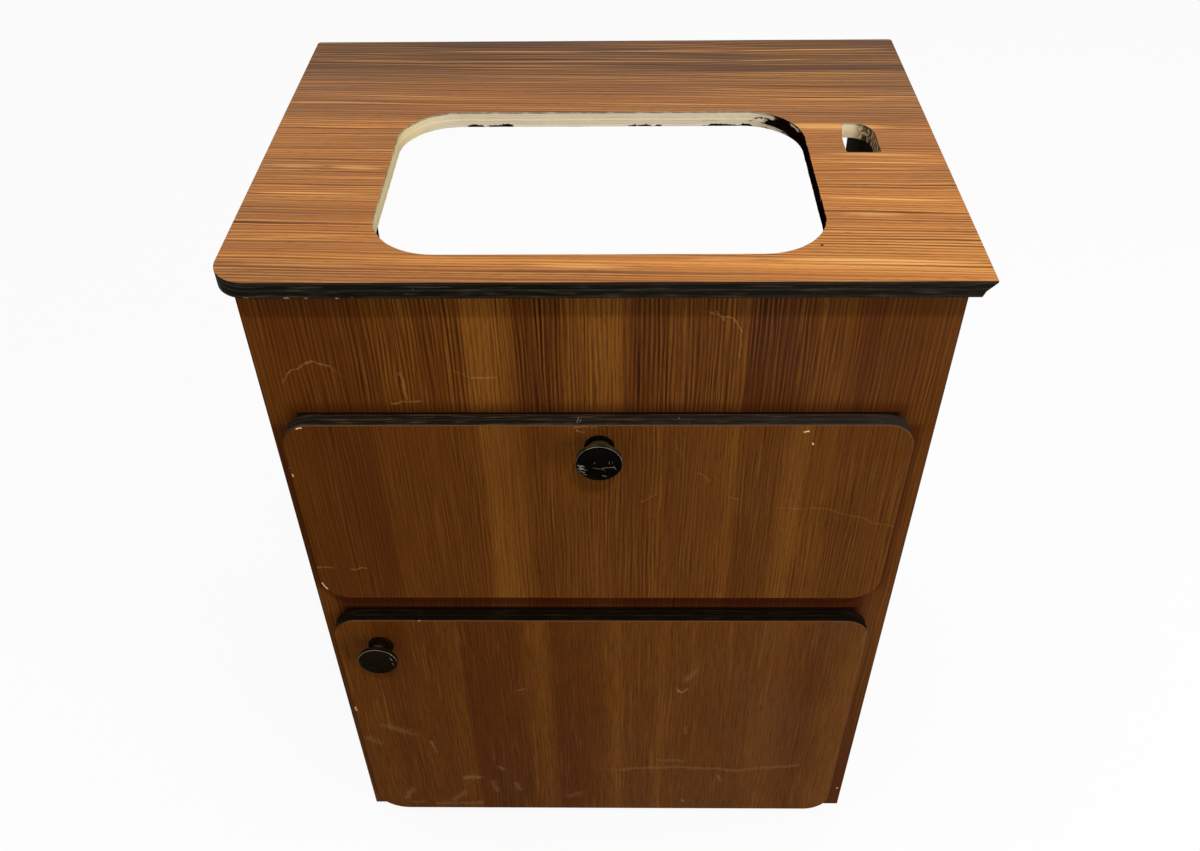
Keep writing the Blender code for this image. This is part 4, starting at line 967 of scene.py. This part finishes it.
def rounded_shape(bm, corners, radii, steps):
    """A flat face in the XY plane with its corners rounded; the radii are in the order of the corners."""
    verts = [bm.verts.new((x, y, 0.0)) for x, y in corners]
    bm.faces.new(verts)
    for vert, radius in zip(verts, radii):
        if radius:
            bevel(bm, [vert], radius, steps, "VERTICES")


def rounded_outline(bm, left, right, low, high, radii, steps):
    """A rounded rectangle; its radii go round from low left to high left."""
    rounded_shape(bm, ((left, low), (right, low), (right, high), (left, high)), radii, steps)


def fill_with_holes(bm):
    """Replace the outlines' faces by one sheet with holes, in a few large faces."""
    bmesh.ops.delete(bm, geom=bm.faces[:], context="FACES_ONLY")
    bmesh.ops.triangle_fill(bm, edges=bm.edges[:], use_beauty=True, use_dissolve=False, normal=(0.0, 0.0, 1.0))
    bmesh.ops.dissolve_limit(bm, angle_limit=math.radians(1), verts=bm.verts[:], edges=bm.edges[:])


def pull_faces(bm, faces):
    """Extrude these faces. Returns the points of the new ones, to be moved."""
    pulled = bmesh.ops.extrude_face_region(bm, geom=faces)
    return [item for item in pulled["geom"] if isinstance(item, bmesh.types.BMVert)]


def thicken(bm, thickness):
    """Pull a flat sheet up into a board."""
    bmesh.ops.translate(bm, vec=(0.0, 0.0, thickness), verts=pull_faces(bm, bm.faces[:]))
    face_outwards(bm)


def round_corners(bm, radius, steps=3):
    """Round every sharp edge of a board by the same small radius."""
    sharp = [edge for edge in bm.edges if edge.is_manifold and edge.calc_face_angle() > CORNER_ANGLE]
    bevel(bm, sharp, radius, steps, clamp_overlap=True)


def stand_up(bm, back):
    """Turn a board that lies in the XY plane upright, with its lower face at this y."""
    bmesh.ops.rotate(bm, cent=(0, 0, 0), matrix=Matrix.Rotation(math.radians(90), 3, "X"), verts=bm.verts[:])
    move(bm, 0.0, back, 0.0)


def paint_faces(bm, choose):
    """Give each face the material number that choose(normal, centre) returns, and shade the corners smooth."""
    for face in bm.faces:
        normal, centre = face.normal, face.calc_center_median()
        face.material_index = choose(normal, centre)
        face.smooth = max(abs(part) for part in normal) < FLAT


print("shape helpers ready")

# %% [markdown]
# ## Worktop
#
# The worktop is one sheet with a jigsawn basin opening and a smaller tap hole. We draw its outline and the two
# holes as flat shapes, fill the sheet between them and pull it up to its thickness. A jigsaw never follows a
# line exactly, so the hole outlines get small seeded shifts, and the print is torn a little at their upper rim.
# The right edge leans inwards below a thin lip: we cut the wall at two heights and push the lower corners in.

# %% Worktop: sizes
FRONT_LEFT_RADIUS, BACK_RADIUS = 0.030, 0.003
BASIN_LOW, BASIN_HIGH = Vector((-0.1860, -0.1721, 0.0)), Vector((0.1830, 0.0679, 0.0))
TAP_LOW, TAP_HIGH = Vector((0.2165, -0.0111, 0.0)), Vector((0.2470, 0.0439, 0.0))
BASIN_NEAR_RADIUS, BASIN_FAR_RADIUS = 0.056, 0.052
TAP_LEAN, TAP_LEAN_LENGTH = 0.0045, 0.027
TAP_RADII = (0.002, 0.002, 0.020, 0.003, 0.010)
LIP_DEPTH, SLOPE_DEPTH, SLOPE_IN, FOOT_IN = 0.0015, 0.0095, 0.0075, 0.0095
SAW_SHIFT, SAW_DENSITY, SECOND_SAW = 0.0003, 150, Vector((7, 3, 1))
TORN_DEPTH, TORN_DENSITY, TORN_SHARE, RIM_MARGIN = 0.0011, 310, 0.05, 0.002
CORNER_ROUNDING = 0.0006
HOLE_MARGIN, TINY, MERGE_DISTANCE = 0.004, 1e-5, 1e-6
BASIN_STEPS, TAP_STEPS, PANEL_STEPS = 16, 8, 14
LONG_EDGE, SHORT_EDGE, LONG_CUTS, SHORT_CUTS = 0.1, 0.008, 50, 12


def in_hole(centre, margin=HOLE_MARGIN):
    """True on the walls of the basin opening and the tap hole."""
    return any(low.x - margin < centre.x < high.x + margin and low.y - margin < centre.y < high.y + margin
               for low, high in ((BASIN_LOW, BASIN_HIGH), (TAP_LOW, TAP_HIGH)))


def outward_from_hole(point):
    """The way out of the nearer hole, sideways or in depth."""
    low, high = (TAP_LOW, TAP_HIGH) if point.x > (BASIN_HIGH.x + TAP_LOW.x) / 2 else (BASIN_LOW, BASIN_HIGH)
    middle, half = (low + high) / 2, (high - low) / 2
    side, deep = (point.x - middle.x) / half.x, (point.y - middle.y) / half.y
    if abs(side) > abs(deep):
        return Vector((math.copysign(1, side), 0, 0))
    return Vector((0, math.copysign(1, deep), 0))


print("basin opening in metres:", list(BASIN_HIGH - BASIN_LOW))

# %% Worktop: sheet with two holes
bm = bmesh.new()
rounded_outline(bm, BASIN_LOW.x, BASIN_HIGH.x, BASIN_LOW.y, BASIN_HIGH.y,
                (BASIN_NEAR_RADIUS, BASIN_NEAR_RADIUS, BASIN_FAR_RADIUS, BASIN_FAR_RADIUS), BASIN_STEPS)
rounded_shape(bm, ((TAP_LOW.x, TAP_LOW.y), (TAP_HIGH.x, TAP_LOW.y), (TAP_HIGH.x, TAP_HIGH.y),
                   (TAP_LOW.x + TAP_LEAN, TAP_HIGH.y), (TAP_LOW.x, TAP_HIGH.y - TAP_LEAN_LENGTH)),
              TAP_RADII, TAP_STEPS)
long_edges = [edge for edge in bm.edges if edge.calc_length() > LONG_EDGE]
bmesh.ops.subdivide_edges(bm, edges=long_edges, cuts=LONG_CUTS)
short_edges = [edge for edge in bm.edges if SHORT_EDGE < edge.calc_length() < LONG_EDGE]
bmesh.ops.subdivide_edges(bm, edges=short_edges, cuts=SHORT_CUTS)
for vert in bm.verts:
    vert.co.x += noise.noise(vert.co * SAW_DENSITY) * SAW_SHIFT
    vert.co.y += noise.noise(vert.co * SAW_DENSITY + SECOND_SAW) * SAW_SHIFT
rounded_outline(bm, worktop_low.x, worktop_high.x, worktop_low.y, worktop_high.y,
                (FRONT_LEFT_RADIUS, 0, BACK_RADIUS, BACK_RADIUS), PANEL_STEPS)
fill_with_holes(bm)
thicken(bm, worktop_high.z - worktop_low.z)
move(bm, 0.0, 0.0, worktop_low.z)
print("sheet faces:", len(bm.faces))

# %% Worktop: sloping right edge, rounded corners and torn rim
for depth in (LIP_DEPTH, SLOPE_DEPTH):
    bmesh.ops.bisect_plane(bm, geom=bm.verts[:] + bm.edges[:] + bm.faces[:], dist=MERGE_DISTANCE,
                           plane_co=(0, 0, worktop_high.z - depth), plane_no=(0, 0, 1))
for vert in bm.verts:
    if vert.co.x > worktop_high.x - TINY:
        below = worktop_high.z - vert.co.z
        if below > SLOPE_DEPTH + TINY:
            vert.co.x -= FOOT_IN
        elif below > LIP_DEPTH + TINY:
            vert.co.x -= SLOPE_IN
face_outwards(bm)
round_corners(bm, CORNER_ROUNDING)
for vert in bm.verts:
    if vert.co.z > worktop_high.z - TINY and in_hole(vert.co, RIM_MARGIN):
        torn = max(0.0, noise.noise(vert.co * TORN_DENSITY) + TORN_SHARE) * TORN_DEPTH
        vert.co += outward_from_hole(vert.co) * torn
print("rounded faces:", len(bm.faces))


# %% Worktop: finishes
def worktop_finish(normal, centre):
    """0 print, 1 black edge, 2 bare cut wall, 3 underside, 4 worn corner."""
    if normal.z > FLAT:
        return 0
    if normal.z < -FLAT:
        return 3
    if in_hole(centre):
        return 2
    return 4 if centre.z > worktop_high.z - CORNER_ROUNDING else 1


paint_faces(bm, worktop_finish)
worktop = make_piece("worktop_sheet", bm, (worktop_print, worktop_edge, cut_wall, shaded_wash_level, worktop_corner),
                     "carcass", ("worktop",))
print("worktop faces:", len(worktop.data.polygons))

# %% [markdown]
# ## Front panel
#
# The front is one board with two openings, which the flap and the door cover. It is made like the worktop, then
# turned upright. Only a strip at the top and narrow borders show when the unit is closed, but the openings are
# there when it is opened.

# %% Front panel
PANEL_LAP = 0.022
OPENING_RADIUS, OPENING_STEPS = 0.015, 10
bm = bmesh.new()
for low, high in ((flap_low, flap_high), (door_low, door_high)):
    rounded_outline(bm, low.x + PANEL_LAP, high.x - PANEL_LAP, low.z + PANEL_LAP, high.z - PANEL_LAP,
                    (OPENING_RADIUS,) * 4, OPENING_STEPS)
rounded_outline(bm, front_low.x, front_high.x, front_low.z, front_high.z, (0, 0, 0, 0), 1)
fill_with_holes(bm)
thicken(bm, front_high.y - front_low.y)
round_corners(bm, CORNER_ROUNDING)
stand_up(bm, front_high.y)
paint_faces(bm, lambda normal, centre: 0 if normal.y < -FLAT else 2 if normal.y > FLAT else 1)
front_piece = make_piece("front_board", bm, (front_print, front_edge, shaded_wash_upright), "carcass",
                         ("front_panel",))
print("front faces:", len(front_piece.data.polygons))

# %% [markdown]
# ## Flap and door
#
# Both are plain boards with rounded corners, laid over the front on hinges. Their edges are black with the
# plies showing, and the corner between face and edge has small chips. The radii differ from corner to corner
# because each corner was rounded by hand.

# %% Flap and door panels
FLAP_RADII = (0.028, 0.028, 0.026, 0.026)
DOOR_RADII = (0.036, 0.028, 0.026, 0.026)
PANEL_ROUNDING = 0.0008


def panel_finish(low):
    """0 print, 1 black edge, 2 washed back darkened as painted shade, 3 worn corner at the front."""
    def choose(normal, centre):
        if normal.y < -FLAT:
            return 0
        if normal.y > FLAT:
            return 2
        return 3 if centre.y < low.y + PANEL_ROUNDING else 1
    return choose


def hung_panel(name, node, radii, face_print, edge, body):
    """A board with rounded corners that stands in front of the carcass."""
    low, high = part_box(node)
    bm = bmesh.new()
    rounded_outline(bm, low.x, high.x, low.z, high.z, radii, PANEL_STEPS)
    thicken(bm, high.y - low.y)
    round_corners(bm, PANEL_ROUNDING)
    stand_up(bm, high.y)
    paint_faces(bm, panel_finish(low))
    return make_piece(name, bm, (face_print, edge, shaded_wash_upright, panel_corner), body, (node,))


flap = hung_panel("flap_board", "flap_panel", FLAP_RADII, flap_print, flap_edge, "flap")
door = hung_panel("door_board", "door_panel", DOOR_RADII, door_print, door_edge, "door")
print("flap and door faces:", len(flap.data.polygons), len(door.data.polygons))

# %% [markdown]
# ## Sides, shelf, base, rails and battens
#
# The rest of the carcass is straight boards and battens. A box whose edges are rounded by half a millimetre
# catches light like sawn and sanded wood. Each board is told which faces carry which finish by the direction
# they look in.

# %% Straight boards
BOARD_ROUNDING, BOARD_STEPS = 0.0005, 2


def straight_board(name, node, axis, upper, lower, edge):
    """A board in its node's box: upper and lower are the finishes of its two large faces across this axis."""
    low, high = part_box(node)
    bm = bmesh.new()
    bmesh.ops.create_cube(bm, size=1.0)
    bmesh.ops.scale(bm, vec=high - low, verts=bm.verts[:])
    move(bm, *(low + high) / 2)
    round_corners(bm, BOARD_ROUNDING, BOARD_STEPS)

    def choose(normal, centre):
        facing = normal[axis - X]
        return 0 if facing > FLAT else 1 if facing < -FLAT else 2

    paint_faces(bm, choose)
    return make_piece(name, bm, (upper, lower, edge), "carcass", (node,))


left_low, left_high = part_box("left_side")
right_low, right_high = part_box("right_side")
left_edge = black_edge("left_edge", X, left_low.x, left_high.x)
right_edge = black_edge("right_edge", X, right_low.x, right_high.x)
straight_board("left_board", "left_side", X, shaded_wash_side, side_print, left_edge)
straight_board("right_board", "right_side", X, side_print, shaded_wash_side, right_edge)
for node, name in (("rear_top_rail", "top_rail"), ("rear_bottom_rail", "bottom_rail")):
    low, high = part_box(node)
    straight_board(name, node, Y, birch_upright, birch_upright,
                   raw_edge(name + "_edge", Y, low.y, high.y))
base_low, base_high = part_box("base_board")
base_edge = raw_edge("base_edge", Z, base_low.z, base_high.z)
straight_board("base_sheet", "base_board", Z, birch_level, birch_level, base_edge)
for stem in ("front", "top", "shelf", "base"):
    pine = pine_upright if stem == "front" else pine_deep
    for side in ("left", "right"):
        straight_board(f"{stem}_strip_{side}", f"{stem}_batten_{side}", X, pine, pine, pine)
print("straight boards made")

# %% [markdown]
# ## Middle shelf
#
# The shelf is notched at its two front corners, where the upright battens pass. We draw the notched outline,
# pull it up to its thickness and round its edges like those of the other boards.

# %% Middle shelf
NOTCH = 0.0153
shelf_low, shelf_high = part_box("middle_shelf")
bm = bmesh.new()
step_y = shelf_low.y + NOTCH
outline = ((shelf_low.x + NOTCH, shelf_low.y), (shelf_high.x - NOTCH, shelf_low.y), (shelf_high.x - NOTCH, step_y),
           (shelf_high.x, step_y), (shelf_high.x, shelf_high.y), (shelf_low.x, shelf_high.y), (shelf_low.x, step_y),
           (shelf_low.x + NOTCH, step_y))
bm.faces.new([bm.verts.new((x, y, shelf_low.z)) for x, y in outline])
thicken(bm, shelf_high.z - shelf_low.z)
round_corners(bm, BOARD_ROUNDING, BOARD_STEPS)
paint_faces(bm, lambda normal, centre: 0 if abs(normal.z) > FLAT else 1)
shelf = make_piece("shelf_sheet", bm, (birch_level, raw_edge("shelf_edge", Z, shelf_low.z, shelf_high.z)),
                   "carcass", ("middle_shelf",))
print("shelf faces:", len(shelf.data.polygons))

# %% [markdown]
# ## Knobs
#
# The two knobs are turned: a small foot, a neck, and a head that swells to a flat, slightly dished face. A
# profile turned about its axis is the natural way. The corners of the profile are then rounded by a bevel, so
# that the lacquer can catch the light along them.

# %% Knobs
# The profile: radius and height above the panel, in millimetres
KNOB_PROFILE = ((0.0, 0.3), (13.0, 0.3), (13.0, 2.2), (12.2, 3.6), (11.9, 8.0), (12.2, 12.0), (13.6, 14.6),
                (16.6, 16.3), (19.0, 17.1), (19.9, 18.0), (20.0, 21.6), (19.2, 22.5), (16.0, 22.5),
                (15.5, 22.0), (0.0, 22.0))
KNOB_SEGMENTS = 72
RING_ROUNDING, RING_STEPS, RING_ANGLE = 0.0004, 3, math.radians(24)
# Marks on the two faces, in millimetres from the middle: start x, start height, end x, end height, width, strength
FLAP_KNOB_MARKS = ((-18, -1, -15, -4, 1.1, .55), (-17, -5, -13, -6, 1.0, .6), (-15.5, -2.5, -12, -4, .8, .45),
                   (-16, -8, -12, -10, .9, .5), (-13, -6.5, -10.5, -7.5, .7, .4),
                   (-13, -12, -10, -13.5, .7, .4), (-6, -4.5, 3, -5, .5, .22), (2, -5, 13, -4, .6, .5),
                   (12, -4, 14, -6.5, .5, .4), (-4, 2.5, -3.4, 1, .5, .28), (8, 2.5, 8.3, 0, .5, .26),
                   (11, 2, 11.2, 0, .5, .24), (4, -7, 5, -7.4, .5, .3), (3, -14, 6, -14.4, .6, .34))
DOOR_KNOB_MARKS = ((13, 6, 15, 3, .8, .5), (15, -2, 16, -5, .8, .45))
KNOB_FINISHES = {
    "flap": dict(wear_and_glint_share=0.80, side_sheen_share=0.8, neck_highlight_share=0.45, neck_highlight_half=0.014, neck_highlight_reach=0.0145,
                 darkest=(4, 3, 1), lightest=(10, 8, 4), marks=FLAP_KNOB_MARKS),
    "door": dict(wear_and_glint_share=0.65, side_sheen_share=0.1, neck_highlight_share=0.60, neck_highlight_half=0.006, neck_highlight_reach=0.0110,
                 darkest=(13, 8, 1), lightest=(24, 15, 3), marks=DOOR_KNOB_MARKS)}


def make_knob(name, node, body, finish):
    """A turned knob in its node's box, facing the front."""
    low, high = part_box(node)
    centre = Vector(((low.x + high.x) / 2, low.y, (low.z + high.z) / 2))
    bm = bmesh.new()
    verts = [bm.verts.new((radius * MILLIMETRE, 0.0, height * MILLIMETRE)) for radius, height in KNOB_PROFILE]
    edges = [bm.edges.new(pair) for pair in zip(verts, verts[1:])]
    bmesh.ops.spin(bm, geom=verts + edges, cent=(0, 0, 0), axis=(0, 0, 1), angle=2 * math.pi, steps=KNOB_SEGMENTS,
                   use_merge=True)
    bmesh.ops.remove_doubles(bm, verts=bm.verts[:], dist=MERGE_DISTANCE)
    face_outwards(bm)
    rings = [edge for edge in bm.edges if edge.is_manifold and edge.calc_face_angle() > RING_ANGLE]
    bevel(bm, rings, RING_ROUNDING, RING_STEPS)
    stand_up(bm, flap_low.y)
    move(bm, centre.x, 0.0, centre.z)
    for face in bm.faces:
        face.smooth = True
    lacquer = knob_lacquer(name + "_lacquer", centre, **finish)
    return make_piece(name, bm, (lacquer,), body, (node,))


for panel, finish in KNOB_FINISHES.items():
    knob = make_knob(f"{panel}_pull", f"{panel}_knob", panel, finish)
    print(knob.name, "faces:", len(knob.data.polygons))

# %% [markdown]
# ## Screws
#
# Every screw head here is the same small shape: a cone with a flat top and a cross recess. We make it once, at
# unit size, then copy it to each place with the way it faces and its radius. The CAD screws are replaced by
# these, and the hinge leaves and battens get the screws that the solids leave out.

# %% Screw head
HEAD_SEGMENTS = 20
RECESS_HALF_WIDTH, RECESS_DEPTH, RECESS_INSET = 0.13, 0.208, 0.36
CONE_FOOT, CONE_DEPTH = 0.55, 0.27
# Each head of a group is turned a little further than the one before
HEAD_TURN = 0.7


def screw_head_mesh():
    """A unit screw head: radius 1, top at z = 0, the cone below it."""
    bm = bmesh.new()
    bmesh.ops.create_circle(bm, cap_ends=True, radius=1.0, segments=HEAD_SEGMENTS)
    moved = pull_faces(bm, bm.faces[:])
    bmesh.ops.scale(bm, vec=(CONE_FOOT, CONE_FOOT, 1.0), verts=moved)
    bmesh.ops.translate(bm, vec=(0.0, 0.0, -CONE_DEPTH), verts=moved)
    face_outwards(bm)
    top = max(bm.faces, key=lambda face: face.calc_center_median().z)
    bmesh.ops.inset_region(bm, faces=[top], thickness=RECESS_INSET, use_even_offset=True)
    inner = [top]
    for direction in ((1, 0, 0), (0, 1, 0)):
        for sign in (-1, 1):
            parts = set(inner)
            for face in inner:
                parts.update(face.verts)
                parts.update(face.edges)
            cut = bmesh.ops.bisect_plane(bm, geom=list(parts), dist=MERGE_DISTANCE, plane_no=direction,
                                         plane_co=[sign * RECESS_HALF_WIDTH * axis for axis in direction])
            inner = [item for item in cut["geom"] if isinstance(item, bmesh.types.BMFace)]
    cross = [face for face in inner if min(abs(face.calc_center_median().x), abs(face.calc_center_median().y))
             < RECESS_HALF_WIDTH]
    lowered = pull_faces(bm, cross)
    bmesh.ops.delete(bm, geom=cross, context="FACES_ONLY")
    bmesh.ops.translate(bm, vec=(0.0, 0.0, -RECESS_DEPTH), verts=lowered)
    face_outwards(bm)
    return mesh_from(bm, "screw_head")


head_mesh = screw_head_mesh()
print("screw head faces:", len(head_mesh.polygons))


# %% Copies of the screw head
def add_heads(name, spots, body, replaced=()):
    """Screw heads as one piece; each spot is the middle of a head's top, the way it faces and its radius."""
    bm = bmesh.new()
    for index, (spot, facing, radius) in enumerate(spots):
        before = len(bm.verts)
        bm.from_mesh(head_mesh)
        bm.verts.ensure_lookup_table()
        turn = Vector((0, 0, 1)).rotation_difference(Vector(facing)).to_matrix().to_4x4()
        spin = Matrix.Rotation(HEAD_TURN * index, 4, "Z")
        place = Matrix.Translation(spot) @ turn @ spin @ Matrix.Scale(radius, 4)
        bmesh.ops.transform(bm, matrix=place, verts=bm.verts[before:])
    return make_piece(name, bm, (zinc,), body, replaced)


def node_heads(name, facing, nodes, body):
    """Heads in place of CAD screws: each sits at the end of its node's box that faces this way."""
    facing = Vector(facing)
    spots = []
    for node in nodes:
        low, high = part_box(node)
        middle, half = (low + high) / 2, (high - low) / 2
        spot = middle + Vector([axis * size for axis, size in zip(facing, half)])
        radius = min(size for axis, size in zip(facing, half) if not axis)
        spots.append((spot, facing, radius))
    return add_heads(name, spots, body, nodes)


print("screw helpers ready")

# %% Place the screws
LEAF_SCREW_RADIUS, LEAF_SCREW_PITCH, LEAF_SCREW_INSET = 0.0028, 0.020, 0.012
LEAF_THICKNESS, LEAF_GAP = 0.0007, 0.0003
TO_FRONT, TO_BACK, DOWN, TO_LEFT, TO_RIGHT = (0, -1, 0), (0, 1, 0), (0, 0, -1), (-1, 0, 0), (1, 0, 0)
joints = {joint["name"]: Vector(joint["pos_m"]) for joint in frame["joints"]}


def leaf_spots(node, moving):
    """The three screws of one hinge leaf, set in its face that looks into the gap."""
    low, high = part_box(node)
    middle = (low + high) / 2
    on_flap = node.startswith("flap")
    axis = joints["flap_hinge" if on_flap else "door_hinge"]
    face_y = flap_high.y + LEAF_GAP + LEAF_THICKNESS if moving else front_low.y - LEAF_GAP - LEAF_THICKNESS
    spots = []
    for step in (-1, 0, 1):
        if on_flap:
            spot = Vector((middle.x + step * LEAF_SCREW_PITCH, face_y, axis.z + LEAF_SCREW_INSET))
        else:
            spot = Vector((axis.x - LEAF_SCREW_INSET, face_y, middle.z + step * LEAF_SCREW_PITCH))
        spots.append((spot, TO_BACK if moving else TO_FRONT, LEAF_SCREW_RADIUS))
    return spots


flap_leaves = [f"flap_hinge_{side}" for side in ("left", "right")]
door_leaves = [f"door_hinge_{side}" for side in ("upper", "lower")]
fixed = [spot for hinge in flap_leaves + door_leaves for spot in leaf_spots(hinge + "_fixed_leaf", False)]
add_heads("fixed_leaf_screws", fixed, "carcass")
for body, hinges in (("flap", flap_leaves), ("door", door_leaves)):
    spots = [spot for hinge in hinges for spot in leaf_spots(hinge + "_moving_leaf", True)]
    add_heads(f"{body}_leaf_screws", spots, body)
node_heads("worktop_screw_heads", DOWN, [f"worktop_screw_{side}_{end}" for side in ("left", "right")
                                         for end in ("front", "back")], "carcass")
node_heads("flap_back_screws", TO_BACK, ["flap_strike_screw_left", "flap_strike_screw_right",
                                         "stay_foot_screw_lower", "stay_foot_screw_upper", "flap_knob_bolt"], "flap")
node_heads("door_back_screws", TO_BACK, ["door_strike_screw_lower", "door_strike_screw_upper", "door_knob_bolt"],
           "door")
node_heads("flap_catch_screw_heads", DOWN, ["flap_catch_screw_left", "flap_catch_screw_right"], "carcass")
node_heads("door_catch_screw_heads", TO_RIGHT, ["door_catch_screw_lower", "door_catch_screw_upper"], "carcass")
node_heads("stay_guide_screw_heads", TO_LEFT, ["stay_guide_screw_lower", "stay_guide_screw_upper"], "carcass")
print("screws placed")

# %% Batten screws
BATTEN_SCREW_RADIUS, BATTEN_SCREW_SHARES = 0.0038, (0.12, 0.5, 0.88)
PROUD = 0.0002
spots = []
for stem in ("front", "top", "shelf", "base"):
    for side, facing in (("left", TO_RIGHT), ("right", TO_LEFT)):
        low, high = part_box(f"{stem}_batten_{side}")
        x = (high.x + PROUD) if side == "left" else (low.x - PROUD)
        for share in BATTEN_SCREW_SHARES:
            if stem == "front":
                spot = Vector((x, (low.y + high.y) / 2, low.z + share * (high.z - low.z)))
            else:
                spot = Vector((x, low.y + share * (high.y - low.y), (low.z + high.z) / 2))
            spots.append((spot, facing, BATTEN_SCREW_RADIUS))
add_heads("batten_screw_heads", spots, "carcass")
print("batten screws:", len(spots))

# %% [markdown]
# ## Finishes for the CAD pieces that stay
#
# The hinge leaves and pins, the stay, its guide and the catches already have the right shape, so they only get
# a better finish: zinc for the metal and brown plastic for the catch cases.

# %% CAD nodes that stay
for name, node in frame["nodes"].items():
    if not node.hide_render:
        finish = brown_plastic if name in ("flap_catch", "door_catch") else zinc
        node.material_slots[0].material = finish
print("CAD nodes shown:", sum(not node.hide_render for node in frame["nodes"].values()))

# %% [markdown]
# ## Floor, light and camera
#
# The unit stands on a plain pale floor. The camera sees the floor as white, and a part of its real light stays
# in the mix so that the shadow still shows. The main lamp is above the front and a little to the right, small
# enough to give the worktop's overhang a clear shadow line. A weak, wide lamp from the right lifts the right-
# hand edges, and the sky fills the rest.

# %% Floor and sky
FLOOR_HALF = 12.0
WHITE_SHARE = 0.87
LIT_GREY, SEEN_GREY = 0.46, 0.97
SKY_STRENGTH = 0.52


def sees_background(tree):
    """1 for rays that show the background: from the camera, in a reflection or through glass."""
    path = add_node(tree, "ShaderNodeLightPath").outputs
    return largest([Wire(path[kind]) for kind in ("Is Camera Ray", "Is Glossy Ray", "Is Transmission Ray")])


floor_paint = bpy.data.materials.new("pale_floor")
floor_paint.use_nodes = True
tree = floor_paint.node_tree
tree.nodes.clear()
seen = sees_background(tree)
matt = add_node(tree, "ShaderNodeBsdfDiffuse", {"Color": mix(seen, LIT_GREY, SEEN_GREY)})
glow = add_node(tree, "ShaderNodeEmission", {"Color": light(1.0), "Strength": 1.0})
blend = add_node(tree, "ShaderNodeMixShader", {0: seen * WHITE_SHARE, 1: Wire(matt.outputs[0]),
                                               2: Wire(glow.outputs[0])})
add_node(tree, "ShaderNodeOutputMaterial", {"Surface": Wire(blend.outputs[0])})

bm = bmesh.new()
bmesh.ops.create_grid(bm, x_segments=2, y_segments=2, size=FLOOR_HALF)
floor = add_object("floor", mesh_from(bm, "floor", (floor_paint,)))

sky = bpy.data.worlds.new("sky")
sky.use_nodes = True
tree = sky.node_tree
tree.nodes.clear()
strength = rescale(sees_background(tree), 0.0, 1.0, SKY_STRENGTH, 1.0, "LINEAR")
back = add_node(tree, "ShaderNodeBackground", {"Color": light(1.0), "Strength": strength})
add_node(tree, "ShaderNodeOutputWorld", {"Surface": Wire(back.outputs[0])})
bpy.context.scene.world = sky
print("floor and sky ready")

# %% Lamps
LAMP_TARGET = Vector((0.0, -0.10, 0.60))
# Each lamp: name, distance, degrees up, degrees to the right, size, power
LAMPS = (("main_lamp", 5.5, 57.5, 16, 0.40, 146.0), ("right_fill", 4.0, 12, 52, 2.0, 50.0))


def add_lamp(name, distance, up, aside, size, power):
    """A round lamp that looks at the unit from this far, this high and this far to the right."""
    height_angle, side_angle = math.radians(up), math.radians(aside)
    lamp = bpy.data.lights.new(name, "AREA")
    lamp.shape = "DISK"
    lamp.size = size
    lamp.energy = power
    made = add_object(name, lamp)
    level = math.cos(height_angle)
    way = Vector((math.sin(side_angle) * level, -math.cos(side_angle) * level, math.sin(height_angle)))
    made.location = LAMP_TARGET + way * distance
    made.rotation_euler = way.to_track_quat("Z", "Y").to_euler()
    print(name, "at", [round(part, 3) for part in made.location])


for lamp_values in LAMPS:
    add_lamp(*lamp_values)

# %% [markdown]
# ## Camera
#
# The picture was taken from just in front of the unit, at head height, looking steeply down. The camera's
# place, its lens and its three angles were fitted to the corners of the worktop, the flap and the door.

# %% Camera
CAMERA_PLACE = Vector((0.01165, -0.90239, 1.28064))
CAMERA_TURN, CAMERA_DOWN, CAMERA_ROLL = math.radians(-1.058), math.radians(42.129), math.radians(0.753)
CAMERA_LENS, SENSOR_WIDTH, NEAREST_SEEN = 33.27, 36.0, 0.01
forward = Vector((math.sin(CAMERA_TURN) * math.cos(CAMERA_DOWN), math.cos(CAMERA_TURN) * math.cos(CAMERA_DOWN),
                  -math.sin(CAMERA_DOWN)))
level_right = Vector((math.cos(CAMERA_TURN), -math.sin(CAMERA_TURN), 0.0))
level_down = forward.cross(level_right)
right = level_right * math.cos(CAMERA_ROLL) + level_down * math.sin(CAMERA_ROLL)
down = level_down * math.cos(CAMERA_ROLL) - level_right * math.sin(CAMERA_ROLL)
camera = bpy.data.cameras.new("camera")
camera.lens = CAMERA_LENS
camera.sensor_width = SENSOR_WIDTH
camera.clip_start = NEAREST_SEEN
camera_object = add_object("camera", camera)
turned = Matrix((right, -down, -forward)).transposed().to_4x4()
camera_object.matrix_world = Matrix.Translation(CAMERA_PLACE) @ turned
bpy.context.scene.camera = camera_object
bpy.context.scene.view_settings.view_transform = "Standard"
print("camera at", list(CAMERA_PLACE))
